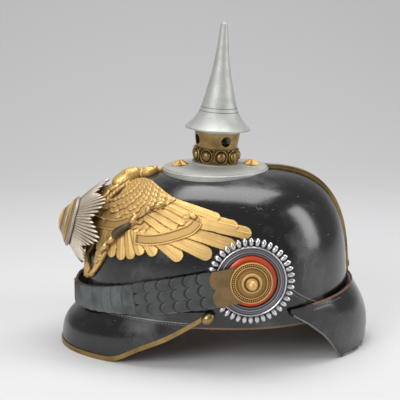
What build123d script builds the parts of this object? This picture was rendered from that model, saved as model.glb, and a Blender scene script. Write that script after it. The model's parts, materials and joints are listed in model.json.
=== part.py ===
from build123d import *
import math
import os
from functools import cache

# Spiked leather helmet standing on z = 0, in millimetres
# Its front looks towards -X, the wearer's left is -Y and +Z is up

# Skull: a dome over a level rim, egg shaped from above
SKULL_FRONT = 132.0
SKULL_REAR = 97.0
SKULL_HALF_WIDTH = 90.0
SKULL_HEIGHT = 118.0
SKULL_WALL = 3.0
WIDEST_X = 20.0
RIM_Z = 36.0
DOME_ROUNDNESS = 3.3
CROWN_Z = RIM_Z + SKULL_HEIGHT
FRONT_END_OF_SKULL_X = WIDEST_X - SKULL_FRONT
REAR_END_OF_SKULL_X = WIDEST_X + SKULL_REAR
DOME_ANGLES = (0, 4, 12, 24, 38, 52, 66, 80)
VENT_RADIUS = 11.0
SEAT_GAP = 0.1

# Cuts run past what they cut by this much, and prisms reach this far to each side
OVERRUN = 5.0
SIDE_REACH = 130.0
UP = (Align.CENTER, Align.CENTER, Align.MIN)
DOWN = (Align.CENTER, Align.CENTER, Align.MAX)

# Front visor: level of its forms from the seam down, and how far each stands out
VISOR_WALL = 2.8
FRONT_FORM_TOP = 52.0
FRONT_BULGE = 20.1
FRONT_FLARE_SHARES = (
    (1.0, 0.0), (0.87, 0.0), (0.73, 0.08), (0.62, 0.36), (0.48, 0.73), (0.27, 0.95), (0.0, 1.0), (-0.1, 1.0),
)
FRONT_SEAM_Z = 43.0
FRONT_END_Z = 49.5
FRONT_OVERHANG = 24.0
FRONT_X = FRONT_END_OF_SKULL_X - FRONT_OVERHANG

# Brass channel on the edge of the front visor
TRIM_WALL = 0.9
TRIM_WEB = 1.0
TRIM_HEIGHT = 4.2
TRIM_END_SHARE = 0.24621
TRIM_END_X = WIDEST_X - TRIM_END_SHARE * SKULL_FRONT
TRIM_END_Z = 45.0
TRIM_FLAT_SHARE = 0.31
TRIM_LINE_SHARES = ((0.5, 0.2), (0.63, 0.38), (0.75, 0.54), (0.87, 0.74), (1.0, 1.0))

# Oval rivet at each end of the channel
BALL_LENGTH = 12.0
BALL_WIDTH = 9.0
BALL_TURN = 36.0
BALL_AHEAD = 1.5
SHANK_RADIUS = 1.5

# Rear visor
REAR_FORM_TOP = 62.0
REAR_BULGE = 16.0
REAR_FLARE_SHARES = (
    (1.0, 0.0), (0.93, 0.05), (0.73, 0.5), (0.53, 0.84), (0.32, 1.0), (0.12, 0.97), (0.0, 0.94), (-0.1, 0.92),
)
REAR_TIP_SHARE = 0.3866
REAR_TIP_X = WIDEST_X + REAR_TIP_SHARE * SKULL_REAR
REAR_TIP_Z = 49.5
REAR_SEAM_Z = 58.0
REAR_REST_INSET = 13.0
REAR_REST_X = REAR_END_OF_SKULL_X - REAR_REST_INSET
REAR_REST_LENGTH = 9.0
REAR_OVERHANG = 20.0
REAR_END_X = REAR_END_OF_SKULL_X + REAR_OVERHANG
REAR_END_Z = 7.5
REAR_END_SLOPE_SHARE = 0.11
REAR_EDGE_SHARES = ((0.28, 0.76), (0.52, 0.58), (0.7, 0.42), (0.86, 0.19))

# Spine strip down the back of the skull
SPINE_WIDTH = 15.0
SPINE_THICKNESS = 1.2
SPINE_RIB_WIDTH = 6.0
SPINE_RIB_RISE = 2.4
SPINE_SCREW_RADIUS = 3.2
SPINE_SCREW_SHARE = 0.25424
SPINE_SCREW_Z = RIM_Z + SPINE_SCREW_SHARE * SKULL_HEIGHT

# Base disc under the spike, and its two star headed studs
SPIKE_AHEAD = 19.0
SPIKE_X = WIDEST_X - SPIKE_AHEAD
DISC_RADIUS = 46.0
DISC_RIM_RISE = 0.6
DISC_RIM_Z = CROWN_Z + DISC_RIM_RISE
DISC_RIM_ROUND = 1.4
DISC_DEPTH = 11.0
DISC_LOW_Z = CROWN_Z - DISC_DEPTH
DISC_SLOPE_SHARES = (0.12, 0.35)
NECK_RADIUS = 20.6
NECK_RISE = 4.4
NECK_Z = CROWN_Z + NECK_RISE
NECK_LEAN = 3.5
STUD_REACH = 31.0
STUD_RADIUS = 8.4
STUD_NOTCH_SHARE = 0.62
STUD_TOP_SHARE = 0.28
STUD_POINTS = 8
STUD_HEIGHT = 3.8
STUD_SEAT_RISE = 1.6
STUD_TILT = 5.4
NUT_RADIUS = 4.6
NUT_HEIGHT = 3.0
WASHER_RADIUS = 19.0
WASHER_HEIGHT = 1.6

# Beaded ring and vented collar, measured up the leaning axis from the neck
BEAD_RING_HEIGHT = 13.4
BEAD_RING_RADIUS = 18.3
BEAD_RING_WALL = 1.6
BEAD_RIM_RADIUS = 19.6
BEAD_RIM_HEIGHT = 1.5
BEAD_COUNT = 9
BEAD_HALF_WIDTH = 4.3
BEAD_HALF_HEIGHT = 4.7
BEAD_RISE = 2.0
BEAD_TOP_SHARE = 0.5
BEAD_SIDES = 10
COLLAR_TOP = 27.0
COLLAR_TOP_RADIUS = 19.8
COLLAR_FOOT_RADIUS = 17.9
COLLAR_WALL = 1.3
COLLAR_VENT_RADIUS = 4.4
COLLAR_VENT_TURN = 21.0
COLLAR_VENT_COUNT = 4
BRIDGE_LOW = 17.5
BRIDGE_HEIGHT = 6.0
BRIDGE_WIDTH = 8.0
BRIDGE_HUB_RADIUS = 7.5

# Spike, its stem and the washer below it
RUNNING_GAP = 0.08
SPIKE_WASHER_HEIGHT = 0.9
SPIKE_WASHER_BORE = 12.5
STEM_RADIUS = 4.0
STEM_LENGTH = 11.5
STEM_FLANGE_HEIGHT = 2.0
SPIKE_HEIGHT = 90.0
SPIKE_RIM_RADIUS = 28.2
SPIKE_RIM_HEIGHT = 2.4
SPIKE_CAP_SHARES = ((0.88, 0.5), (0.5, 0.87))
SPIKE_WALL = 1.4
SPIKE_SEAT_SHARE = 0.7
SPIKE_TAPER_SHARES = (
    (0.0, 1.0), (0.08, 0.74), (0.15, 0.607), (0.302, 0.458), (0.53, 0.291), (0.744, 0.186), (0.97, 0.11),
)
SPIKE_HOLLOW_SHARES = ((0.0, 0.62), (0.1, 0.56), (0.25, 0.4), (0.5, 0.2))

# Eagle plate, which lies on the skull in two thicknesses
PLATE_THICKNESS = 1.4
RELIEF_THICKNESS = 2.8
WING_FRONT_SHARE = 0.88636
WING_TIP_SHARE = 0.02652
WING_LOW_SHARE = 0.4322
WING_TOP_SHARE = 0.9322
WING_FRONT_X = WIDEST_X - WING_FRONT_SHARE * SKULL_FRONT
WING_TIP_X = WIDEST_X + WING_TIP_SHARE * SKULL_FRONT
WING_LOW_Z = RIM_Z + WING_LOW_SHARE * SKULL_HEIGHT
WING_TOP_Z = RIM_Z + WING_TOP_SHARE * SKULL_HEIGHT
WING_SHARES = (
    (0.0, 0.67), (0.125, 0.905), (0.205, 1.0), (0.28, 0.99), (0.37, 0.95), (0.47, 0.893), (0.6, 0.778),
    (0.7, 0.71), (0.788, 0.67), (0.81, 0.6), (0.907, 0.564), (0.9, 0.49), (1.0, 0.459), (0.993, 0.4),
    (0.9, 0.36), (0.911, 0.29), (0.8, 0.27), (0.837, 0.2), (0.7, 0.22), (0.724, 0.15), (0.57, 0.19),
    (0.524, 0.097), (0.4, 0.18), (0.343, 0.127), (0.285, 0.19), (0.255, 0.125), (0.225, 0.15),
    (0.195, 0.055), (0.165, 0.1), (0.13, 0.0), (0.1, 0.07), (0.06, 0.007), (0.025, 0.14), (-0.08, 0.2),
    (-0.14, 0.6),
)
COVERT_SHARES = (
    (-0.1, 0.6), (0.01, 0.64), (0.13, 0.88), (0.21, 0.96), (0.29, 0.94), (0.42, 0.86), (0.52, 0.76),
    (0.46, 0.6), (0.4, 0.62), (0.33, 0.46), (0.27, 0.5), (0.2, 0.32), (0.13, 0.36), (0.07, 0.2),
    (-0.05, 0.26),
)
BODY_HALF_WIDTH = 24.0
BODY_TOP_SHARE = 0.8305
TAIL_LOW_SHARE = 0.18644
BODY_TOP_Z = RIM_Z + BODY_TOP_SHARE * SKULL_HEIGHT
TAIL_LOW_Z = RIM_Z + TAIL_LOW_SHARE * SKULL_HEIGHT
BODY_SHARES = (
    (0.45, 1.0), (1.0, 0.72), (1.0, 0.45), (0.62, 0.34), (0.85, 0.17), (1.1, 0.03), (0.7, 0.0), (0.35, 0.04),
)
LEG_SHARES = (
    (1.15, 0.36), (1.95, 0.45), (2.0, 0.3), (1.75, 0.1), (1.25, 0.0), (1.0, 0.08), (1.5, 0.2), (1.45, 0.3),
)

# Neck, head and crown of the eagle, on the centre line
NECK_FOOT_SHARE = 0.93939
CROWN_TIP_SHARE = 0.51136
NECK_FOOT_X = WIDEST_X - NECK_FOOT_SHARE * SKULL_FRONT
CROWN_TIP_X = WIDEST_X - CROWN_TIP_SHARE * SKULL_FRONT
HEAD_RISE = 8.6
NECK_RISE_SHARES = ((0.05, 0.3), (0.25, 0.7), (0.5, 1.0), (0.66, 0.95), (0.8, 0.85))
NECK_HALF_SHARES = (0.85, 0.8, 1.0, 0.9, 0.6)
HEAD_HALF_WIDTH = 8.2
NECK_FLAT_SHARE = 0.7
CROWN_RADIUS = 6.4
CROWN_LENGTH = 15.0
CROWN_TILT = 76.0
CROWN_SEAT_SHARE = 0.8
CROWN_SHARES = ((0.0, 1.0), (0.18, 1.0), (0.2, 0.86), (0.5, 0.98), (0.78, 0.5), (0.8, 0.24), (1.0, 0.2))

# Scroll on each wing
SCROLL_THICKNESS = 1.3
SCROLL_SHARES = (
    (-0.1, 0.2), (0.1, 0.24), (0.19, 0.42), (0.2, 0.5), (0.26, 0.24), (0.44, 0.34), (0.6, 0.47), (0.65, 0.62),
    (0.6, 0.7), (0.56, 0.6), (0.42, 0.46), (0.26, 0.36), (0.19, 0.6), (0.09, 0.38), (-0.1, 0.36),
)

# Sceptre in the near claw and sword in the far one, each a bent rod over the wing
ROD_PATH_SHARES = (
    (-0.055, -0.305), (0.025, 0.136), (0.119, 0.356), (0.188, 0.524), (0.278, 0.678), (0.36, 0.82),
    (0.398, 0.89),
)
ROD_LIFT = 1.0
ROD_SIDES = 8
ROD_RADIUS = 3.6
SCEPTRE_SHARES = (
    (0.0, 0.5), (0.34, 0.56), (0.36, 1.0), (0.39, 1.0), (0.41, 0.62), (0.45, 0.95), (0.48, 0.7), (0.56, 0.82),
    (0.7, 0.78), (0.72, 0.54), (0.85, 0.5), (0.87, 1.0), (0.9, 1.0), (0.92, 0.55), (0.95, 0.85), (1.0, 0.3),
)
SWORD_SHARES = (
    (0.08, 0.6), (0.1, 0.72), (0.12, 0.5), (0.2, 0.6), (0.22, 1.0), (0.25, 1.0), (0.27, 0.66), (0.9, 0.6),
    (1.0, 0.2),
)
GUARD_SHARE = 0.235
GUARD_HALF_LENGTH = 7.0
GUARD_RADIUS = 1.3

# Guard star: axis leans back, rays run down from its centre to the plate
STAR_AHEAD = 12.0
STAR_HEIGHT_SHARE = 0.60085
STAR_X = FRONT_END_OF_SKULL_X - STAR_AHEAD
STAR_Z = RIM_Z + STAR_HEIGHT_SHARE * SKULL_HEIGHT
STAR_LEAN = 15.0
STAR_DEPTH = 27.0
STAR_TOP_RADIUS = 21.0
STAR_FOOT_HALF_WIDTH = 40.0
STAR_FOOT_HALF_HEIGHT = 44.0
STAR_FOOT_RISE = 3.0
STAR_WALL = 2.2
STAR_RAY_COUNT = 56
STAR_POINT_COUNT = 8
STAR_LONG = 46.0
STAR_SHORT = 36.0
STAR_NOTCH_SHARE = 0.66
STAR_GROOVE_SHARE = 0.83
MEDAL_SHARES = (
    (0.0, 0.0), (0.0, 1.0), (0.16, 1.0), (0.2, 0.95), (0.24, 0.89), (0.5, 0.83), (0.55, 0.62),
    (0.62, 0.5), (0.82, 0.49), (0.86, 0.36), (1.0, 0.2), (1.0, 0.0),
)
MEDAL_RADIUS = 22.0
MEDAL_HEIGHT = 11.5
MEDAL_SPLIT_SHARE = 0.55
STAR_SCREW_RADIUS = 2.0
STAR_SCREW_LENGTH = 29.0
PLATE_POST_RADIUS = 1.6
PLATE_POST_Y = 30.0
PLATE_POST_SHARE = 0.64407
PLATE_POST_Z = RIM_Z + PLATE_POST_SHARE * SKULL_HEIGHT
PLATE_POST_LENGTH = 13.0

# Cockade, chin scale plate and rosette share one axis on each side
ROSETTE_BEHIND = 4.0
ROSETTE_HEIGHT_SHARE = 0.33898
ROSETTE_X = WIDEST_X + ROSETTE_BEHIND
ROSETTE_Z = RIM_Z + ROSETTE_HEIGHT_SHARE * SKULL_HEIGHT
COCKADE_SEAT_Y = SKULL_HALF_WIDTH + SEAT_GAP
TOOTH_COUNT = 44
TOOTH_TIP_RADIUS = 33.7
TOOTH_ROOT_RADIUS = 27.2
TOOTH_THICKNESS = 1.3
COCKADE_RING_RADIUS = 27.0
COCKADE_HEIGHT = 4.4
COCKADE_RING_SHARES = (
    (0.735, 0.0), (1.0, 0.0), (1.0, 0.8), (0.97, 1.0), (0.92, 0.72), (0.86, 0.72), (0.83, 0.95),
    (0.735, 0.65),
)
RED_RING_INNER = 14.8
RED_RING_OUTER = 19.6
RED_RING_HEIGHT = 1.7
POST_RADIUS = 3.0
POST_NUT_RADIUS = 6.0
SCALE_PLATE_Z = 4.8
ROSETTE_SEAT = 6.5
ROSETTE_RADIUS = 17.0
ROSETTE_HEIGHT = 8.0
ROSETTE_SHARES = (
    (0.0, 1.0), (0.22, 1.0), (0.22, 0.89), (0.36, 0.84), (0.28, 0.73), (0.5, 0.66), (0.44, 0.55),
    (0.84, 0.46), (1.0, 0.2), (1.0, 0.0),
)
KNOB_BALL_RADIUS = 4.3
KNOB_SEAT_SHARE = 0.8
POST_NUT_SEAT = 1.45

# Path of the chin scales: an ellipse round the front, falling towards the front centre
BAND_STANDOFF_FRONT = 12.0
BAND_STANDOFF_SIDE = 5.9
BAND_FRONT = SKULL_FRONT + BAND_STANDOFF_FRONT
BAND_SIDE = SKULL_HALF_WIDTH + BAND_STANDOFF_SIDE
BAND_FRONT_Z = 46.0
BAND_HALF_SIDE = 15.8
BAND_HALF_MIDDLE = 14.0
BAND_HALF_FRONT = 10.3
BAND_MIDDLE_SHARE = 0.67424
BAND_MIDDLE_X = WIDEST_X - BAND_MIDDLE_SHARE * SKULL_FRONT
BAND_END_GAP = 0.5
BAND_STEPS = 8
WALK_STEPS = 720
SCALE_PITCH = 11.3
SCALE_FIRST = 37.0
SCALE_LAP = 2.5
SCALE_THICKNESS = 0.8
SCALE_GAP = 0.35
LARGE_COUNT = 6
LOBE_SHARE = 0.3
SMALL_WIDTH_SHARE = 0.92
BOSS_PLATE_THICKNESS = 1.3
BOSS_PLATE_RADIUS = 13.5
BOSS_PLATE_EDGE = 33.0
LEATHER_OUTER = 2.65
LEATHER_THICKNESS = 1.35
LEATHER_EDGE = 1.5
FLEX_BEFORE = 6.0
FLEX_AFTER = 0.6
SEGMENT_EDGES = ((0, 1), (2, 3, 4, 5), (6, 7, 8), (9, 10, 11, 12))
BUCKLE_LENGTH = 13.0
BUCKLE_WIDTH = 19.0
BUCKLE_BAR = 2.2
BUCKLE_THICKNESS = 1.8
BUCKLE_SEAT = 0.45
PRONG_RADIUS = 0.9
TIP_LENGTH = 13.0

# Liner: sweatband round the rim, and leather tongues drawn together by a lace
BAND_INSIDE_LOW_Z = 33.5
BAND_INSIDE_TOP_Z = 60.0
SWEATBAND_THICKNESS = 2.0
TONGUE_LOW_Z = 52.0
TONGUE_TOP_SHARE = 0.76271
TONGUE_TOP_Z = RIM_Z + TONGUE_TOP_SHARE * SKULL_HEIGHT
TONGUE_ROOT_Z = 50.0
TONGUE_DOME_SHARE = 0.71186
TONGUE_DOME_HEIGHT = TONGUE_DOME_SHARE * SKULL_HEIGHT
TONGUE_ROUNDNESS = 2.0
TONGUE_ANGLES = (0, 12, 26, 42, 60, 78)
TONGUE_THICKNESS = 1.2
TONGUE_COUNT = 8
TONGUE_SLOT = 7.0
LACE_SHARE = 0.72034
LACE_Z = RIM_Z + LACE_SHARE * SKULL_HEIGHT
LACE_HEIGHT = 2.4
LACE_THICKNESS = 2.0


def dome_shares(angle, roundness):
    """Height and reach of a dome at an angle up its side, as shares of its full height and reach."""
    power = 2 / roundness
    return math.sin(math.radians(angle)) ** power, math.cos(math.radians(angle)) ** power


def egg(front, rear, half_width, height):
    """Level face shaped like a head: half an ellipse to the front and half to the rear."""
    rear_arc = EllipticalCenterArc((WIDEST_X, 0), rear, half_width, start_angle=-90, arc_size=180)
    front_arc = EllipticalCenterArc((WIDEST_X, 0), front, half_width, start_angle=90, arc_size=180)
    return Plane.XY.offset(height) * make_face([rear_arc, front_arc])


@cache
def dome(outset):
    """Solid dome whose side stands outset from the leather's outer face."""
    sections = []
    for angle in DOME_ANGLES:
        high, wide = dome_shares(angle, DOME_ROUNDNESS)
        reaches = [wide * reach + outset for reach in (SKULL_FRONT, SKULL_REAR, SKULL_HALF_WIDTH)]
        sections.append(egg(*reaches, RIM_Z + (SKULL_HEIGHT + outset) * high))
    return loft(sections)


@cache
def inner_dome(inset):
    """Space inside the skull, from below its rim up."""
    foot = egg(SKULL_FRONT - inset, SKULL_REAR - inset, SKULL_HALF_WIDTH - inset, RIM_Z)
    return dome(-inset) + extrude(foot, amount=-OVERRUN)


def side_prism(edges):
    """Prism across the helmet of an outline drawn in side view."""
    return extrude(Plane.XZ * make_face(edges), amount=SIDE_REACH, both=True)


def level_slab(low, high):
    """Everything between two heights."""
    width = 2 * SIDE_REACH
    return Pos(0, 0, low) * Box(2 * width, width, high - low, align=UP)


def mirrored(shape):
    """The same piece for the wearer's right."""
    return mirror(shape, about=Plane.XZ)


def hex_nut(radius, height, bore):
    """Hexagonal nut standing on the local plane."""
    return extrude(RegularPolygon(radius, 6) - Circle(bore), amount=height)


# Places that several pieces share
def leaning():
    """Plane of the neck, from which the spike and its collar stand up."""
    return Location((SPIKE_X, 0, NECK_Z), (0, NECK_LEAN, 0))


def star_plane():
    """Plane of the star's centre, facing out."""
    lean = math.radians(STAR_LEAN)
    return Plane(origin=(STAR_X, 0, STAR_Z), x_dir=(0, -1, 0), z_dir=(-math.cos(lean), 0, math.sin(lean)))


def rosette_plane():
    """Plane on the wearer's left in which the cockade is seated, facing out."""
    return Plane(origin=(ROSETTE_X, -COCKADE_SEAT_Y, ROSETTE_Z), x_dir=(1, 0, 0), z_dir=(0, -1, 0))


def both_sides(shape):
    """A left piece and its mirror image as one group."""
    return Compound(children=[*shape.solids(), *mirrored(shape).solids()])


# Holes that the fasteners need
def stud_axis(side):
    """Upright axis of the front (-1) or rear (1) stud."""
    return Pos(SPIKE_X + side * STUD_REACH, 0, 0)


def stud_holes():
    height = 2 * (NECK_Z + OVERRUN)
    return [stud_axis(side) * Cylinder(SHANK_RADIUS, height) for side in (-1, 1)]


def post_cylinder(radius, low, high):
    """Cylinder on the left rosette's axis between two distances from the cockade's seat."""
    return rosette_plane() * Pos(0, 0, low) * Cylinder(radius, high - low, align=UP)


def star_screw_body():
    return star_plane() * Cylinder(STAR_SCREW_RADIUS, STAR_SCREW_LENGTH, align=DOWN)


def plate_post():
    """Left post soldered to the back of the eagle plate, running through the skull."""
    start = Plane(origin=(plate_post_x(), -PLATE_POST_Y, PLATE_POST_Z), x_dir=(0, -1, 0), z_dir=(1, 0, 0))
    return start * Cylinder(PLATE_POST_RADIUS, PLATE_POST_LENGTH, align=UP)


def surface_x(y, z, outset):
    """Where the front of the dome stands, at a distance from the centre line and a height."""
    high = (z - RIM_Z) / (SKULL_HEIGHT + outset)
    wide = (1 - high**DOME_ROUNDNESS) ** (1 / DOME_ROUNDNESS)
    half = SKULL_HALF_WIDTH * wide + outset
    return WIDEST_X - (SKULL_FRONT * wide + outset) * math.sqrt(1 - (y / half) ** 2)


def surface_y(x, z, outset):
    """How far out the front of the dome stands at a place in side view."""
    high = (z - RIM_Z) / (SKULL_HEIGHT + outset)
    wide = (1 - high**DOME_ROUNDNESS) ** (1 / DOME_ROUNDNESS)
    reach = (WIDEST_X - x) / (SKULL_FRONT * wide + outset)
    return (SKULL_HALF_WIDTH * wide + outset) * math.sqrt(1 - reach**2)


def plate_post_x():
    """The post starts half way into the plate."""
    return surface_x(PLATE_POST_Y, PLATE_POST_Z, PLATE_THICKNESS / 2)


def ball_place():
    """Middle of the left ball rivet, on the side of the skull."""
    x = TRIM_END_X + BALL_AHEAD
    share = (WIDEST_X - x) / SKULL_FRONT
    return x, -(SKULL_HALF_WIDTH * math.sqrt(1 - share**2) + BALL_WIDTH / 2), TRIM_END_Z


def ball_shank():
    x, y, z = ball_place()
    shank = Cylinder(SHANK_RADIUS, BALL_WIDTH / 2 + SKULL_WALL, align=UP)
    return Plane(origin=(x, y, z), z_dir=(0, 1, 0)) * shank


# Leather
def make_skull():
    shell = dome(0) - inner_dome(SKULL_WALL)
    vent = Pos(SPIKE_X, 0, RIM_Z + SKULL_HEIGHT) * Cylinder(VENT_RADIUS, SKULL_HEIGHT / 2)
    post = post_cylinder(POST_RADIUS, -COCKADE_SEAT_Y / 2, 0)
    holes = [vent, *stud_holes(), post, mirrored(post), star_screw_body()]
    holes += [plate_post(), mirrored(plate_post()), ball_shank(), mirrored(ball_shank()), spine_shank()]
    for hole in holes:
        shell -= hole
    return shell


@cache
def front_form(outset):
    """Solid whose side is the outer face of the front visor, moved out by outset."""
    sections = []
    for level, flare in reversed(FRONT_FLARE_SHARES):
        front = SKULL_FRONT + VISOR_WALL + flare * FRONT_BULGE + outset
        rear = SKULL_REAR + VISOR_WALL + outset
        sections.append(egg(front, rear, SKULL_HALF_WIDTH + VISOR_WALL + outset, level * FRONT_FORM_TOP))
    return loft(sections)


@cache
def rear_form(outset):
    """Solid whose side is the outer face of the rear visor, moved out by outset."""
    sections = []
    for level, flare in reversed(REAR_FLARE_SHARES):
        front = SKULL_FRONT + VISOR_WALL + outset
        rear = SKULL_REAR + VISOR_WALL + flare * REAR_BULGE + outset
        sections.append(egg(front, rear, SKULL_HALF_WIDTH + VISOR_WALL + outset, level * REAR_FORM_TOP))
    return loft(sections)


def trim_edge(rise):
    """Lower edge of the front visor in side view, from the front to the rivet, lifted by rise."""
    length = TRIM_END_X - FRONT_X
    flat = Line((FRONT_X - OVERRUN, rise), (FRONT_X + TRIM_FLAT_SHARE * length, rise))
    points = [flat @ 1, *[(FRONT_X + x * length, z * TRIM_END_Z + rise) for x, z in TRIM_LINE_SHARES]]
    return [flat, Spline(points, tangents=[(1, 0), (1, 1)])]


def make_front_visor():
    edge = trim_edge(TRIM_WEB)
    corner = edge[1] @ 1
    front = edge[0] @ 0
    outline = [*edge, *Polyline(corner, (corner.X, FRONT_END_Z), (front.X, FRONT_SEAM_Z), front).edges()]
    shell = front_form(0) - front_form(-VISOR_WALL)
    return (shell & side_prism(outline)) - dome(SEAT_GAP)


def make_visor_trim():
    low = trim_edge(0)
    high = trim_edge(TRIM_HEIGHT)
    outline = [*low, Line(low[1] @ 1, high[1] @ 1), *high, Line(high[0] @ 0, low[0] @ 0)]
    channel = (front_form(TRIM_WALL) - front_form(-VISOR_WALL - TRIM_WALL)) & side_prism(outline)
    web = trim_edge(TRIM_WEB - SEAT_GAP)
    lid = trim_edge(TRIM_HEIGHT + OVERRUN)
    inside = [*web, Line(web[1] @ 1, lid[1] @ 1), *lid, Line(lid[0] @ 0, web[0] @ 0)]
    groove = (front_form(SEAT_GAP) - front_form(-VISOR_WALL - SEAT_GAP)) & side_prism(inside)
    return channel - groove - dome(SEAT_GAP)


def make_rear_visor():
    points = [(REAR_TIP_X, REAR_TIP_Z - VISOR_WALL)]
    length = REAR_REST_X - REAR_TIP_X
    points += [(REAR_TIP_X + x * length, z * REAR_TIP_Z) for x, z in REAR_EDGE_SHARES]
    edge = Spline([*points, (REAR_REST_X, 0)], tangents=[(1, -1), (1, -1)])
    rest_end = (REAR_REST_X + REAR_REST_LENGTH, 0)
    back_end = (REAR_END_X + OVERRUN, REAR_END_Z)
    sweep_up = Spline([rest_end, back_end], tangents=[(1, 0), (1, REAR_END_SLOPE_SHARE)])
    back = Polyline((REAR_REST_X, 0), rest_end)
    top = Polyline(sweep_up @ 1, (REAR_END_X + OVERRUN, REAR_SEAM_Z), (REAR_TIP_X, REAR_TIP_Z), points[0])
    outline = [edge, *back.edges(), sweep_up, *top.edges()]
    shell = rear_form(0) - rear_form(-VISOR_WALL)
    return (shell & side_prism(outline)) - dome(SEAT_GAP)


# Trim on the leather
def make_trim_ball_rivets():
    x, y, z = ball_place()
    half = make_face([
        EllipticalCenterArc((0, 0), BALL_LENGTH / 2, BALL_WIDTH / 2, start_angle=0, arc_size=180),
        Line((BALL_LENGTH / 2, 0), (-BALL_LENGTH / 2, 0)),
    ])
    ball = Pos(x, y, z) * Rot(0, -BALL_TURN, 0) * revolve(half, Axis.X)
    return both_sides((ball - front_form(TRIM_WALL + SEAT_GAP)) + ball_shank())


def back_strip(width, rise):
    """Strip over the back of the skull on the centre line, from the disc to the rear visor."""
    length = SKULL_REAR + SIDE_REACH
    height = 2 * (RIM_Z + 2 * SKULL_HEIGHT)
    box = Pos(SPIKE_X, 0, 0) * Box(length, width, height, align=(Align.MIN, Align.CENTER, Align.CENTER))
    disc = Pos(SPIKE_X, 0, 0) * Cylinder(DISC_RADIUS + SEAT_GAP, height)
    return ((dome(rise) & box) - dome(SEAT_GAP)) - disc


def spine_shank():
    x = WIDEST_X + SKULL_REAR
    return Pos(x, 0, SPINE_SCREW_Z) * Rot(0, 90, 0) * Cylinder(SHANK_RADIUS, 4 * SKULL_WALL)


def make_rear_spine():
    strip = back_strip(SPINE_WIDTH, SPINE_THICKNESS) + back_strip(SPINE_RIB_WIDTH, SPINE_RIB_RISE)
    above = level_slab(REAR_SEAM_Z + SEAT_GAP, 2 * (RIM_Z + SKULL_HEIGHT))
    return (strip & above) - spine_shank()


def make_spine_screw():
    x = WIDEST_X + SKULL_REAR
    head = Cylinder(SPINE_SCREW_RADIUS, 2 * SPINE_RIB_RISE + SPINE_THICKNESS)
    head = Pos(x, 0, SPINE_SCREW_Z) * Rot(0, 90, 0) * head
    return (head - dome(SPINE_RIB_RISE)) + (spine_shank() & dome(SPINE_RIB_RISE + SPINE_THICKNESS / 2))


# Base disc, studs and what holds them inside
def disc_body():
    """Low dome with a rounded rim and a short neck."""
    rim = DISC_RIM_Z - DISC_RIM_ROUND
    corner = (DISC_RADIUS - DISC_RIM_ROUND, DISC_RIM_Z)
    rounding = RadiusArc((DISC_RADIUS, rim), corner, DISC_RIM_ROUND)
    shoulder = (NECK_RADIUS, NECK_Z - 2 * DISC_RIM_ROUND / 3)
    slope = Spline([corner, shoulder], tangents=[(-1, share) for share in DISC_SLOPE_SHARES])
    top = NECK_Z + OVERRUN
    low = DISC_LOW_Z
    rest = Polyline(slope @ 1, (NECK_RADIUS, top), (0, top), (0, low), (DISC_RADIUS, low), (DISC_RADIUS, rim))
    profile = make_face([rounding, slope, *rest.edges()])
    return Pos(SPIKE_X, 0, 0) * revolve(Plane.XZ * profile, Axis.Z)


def above_neck():
    height = 2 * OVERRUN
    return leaning() * Cylinder(2 * NECK_RADIUS, height, align=UP)


def make_base_disc():
    disc = disc_body() - above_neck() - dome(SEAT_GAP)
    disc -= Pos(SPIKE_X, 0, NECK_Z) * Cylinder(VENT_RADIUS, 2 * OVERRUN + SKULL_WALL)
    for hole in stud_holes():
        disc -= hole
    return disc


def star_outline(radius, notch_share, points):
    """Pointed star from alternate tips and notches."""
    step = math.pi / points
    corners = []
    for i in range(2 * points):
        reach = radius if i % 2 == 0 else radius * notch_share
        corners.append((reach * math.cos(i * step), reach * math.sin(i * step)))
    return make_face(Polyline(*corners, close=True))


def make_base_star_studs():
    studs = []
    foot = star_outline(STUD_RADIUS, STUD_NOTCH_SHARE, STUD_POINTS)
    tip = star_outline(STUD_RADIUS * STUD_TOP_SHARE, STUD_NOTCH_SHARE, STUD_POINTS)
    head = loft([foot, Pos(0, 0, STUD_HEIGHT) * tip], ruled=True)
    seat_z = DISC_RIM_Z + STUD_SEAT_RISE
    shank_low = washer_top() - NUT_HEIGHT - SKULL_WALL / 2
    height = seat_z + STUD_HEIGHT / 2 - shank_low
    shank = Pos(0, 0, shank_low) * Cylinder(SHANK_RADIUS, height, align=UP)
    for side in (-1, 1):
        studs.append(stud_axis(side) * (Pos(0, 0, seat_z) * Rot(0, side * STUD_TILT, 0) * head + shank))
    return Compound(children=[solid for stud in studs for solid in stud.solids()])


def washer_top():
    """Flat ceiling of the inside of the skull under the disc."""
    high = dome_shares(DOME_ANGLES[-1], DOME_ROUNDNESS)[0]
    return RIM_Z + (SKULL_HEIGHT - SKULL_WALL) * high


def make_base_washer():
    washer = Pos(SPIKE_X, 0, washer_top() - SEAT_GAP) * Cylinder(
        WASHER_RADIUS, WASHER_HEIGHT, align=DOWN
    )
    washer -= Pos(SPIKE_X, 0, washer_top()) * Cylinder(VENT_RADIUS, 4 * WASHER_HEIGHT)
    return washer


def make_stud_nuts():
    nuts = []
    for side in (-1, 1):
        low = washer_top() - NUT_HEIGHT - SKULL_WALL / 2
        nuts.append(stud_axis(side) * Pos(0, 0, low) * hex_nut(NUT_RADIUS, NUT_HEIGHT, SHANK_RADIUS))
    return Compound(children=[solid for nut in nuts for solid in nut.solids()])


# Collar and spike, upright in their own frame
def ring(outer, inner, low, high):
    return Pos(0, 0, low) * extrude(Circle(outer) - Circle(inner), amount=high - low)


def oval_points(half_width, half_height):
    """Corners of a many sided oval."""
    turns = [2 * math.pi * i / BEAD_SIDES for i in range(BEAD_SIDES)]
    return [(half_width * math.cos(turn), half_height * math.sin(turn)) for turn in turns]


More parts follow.
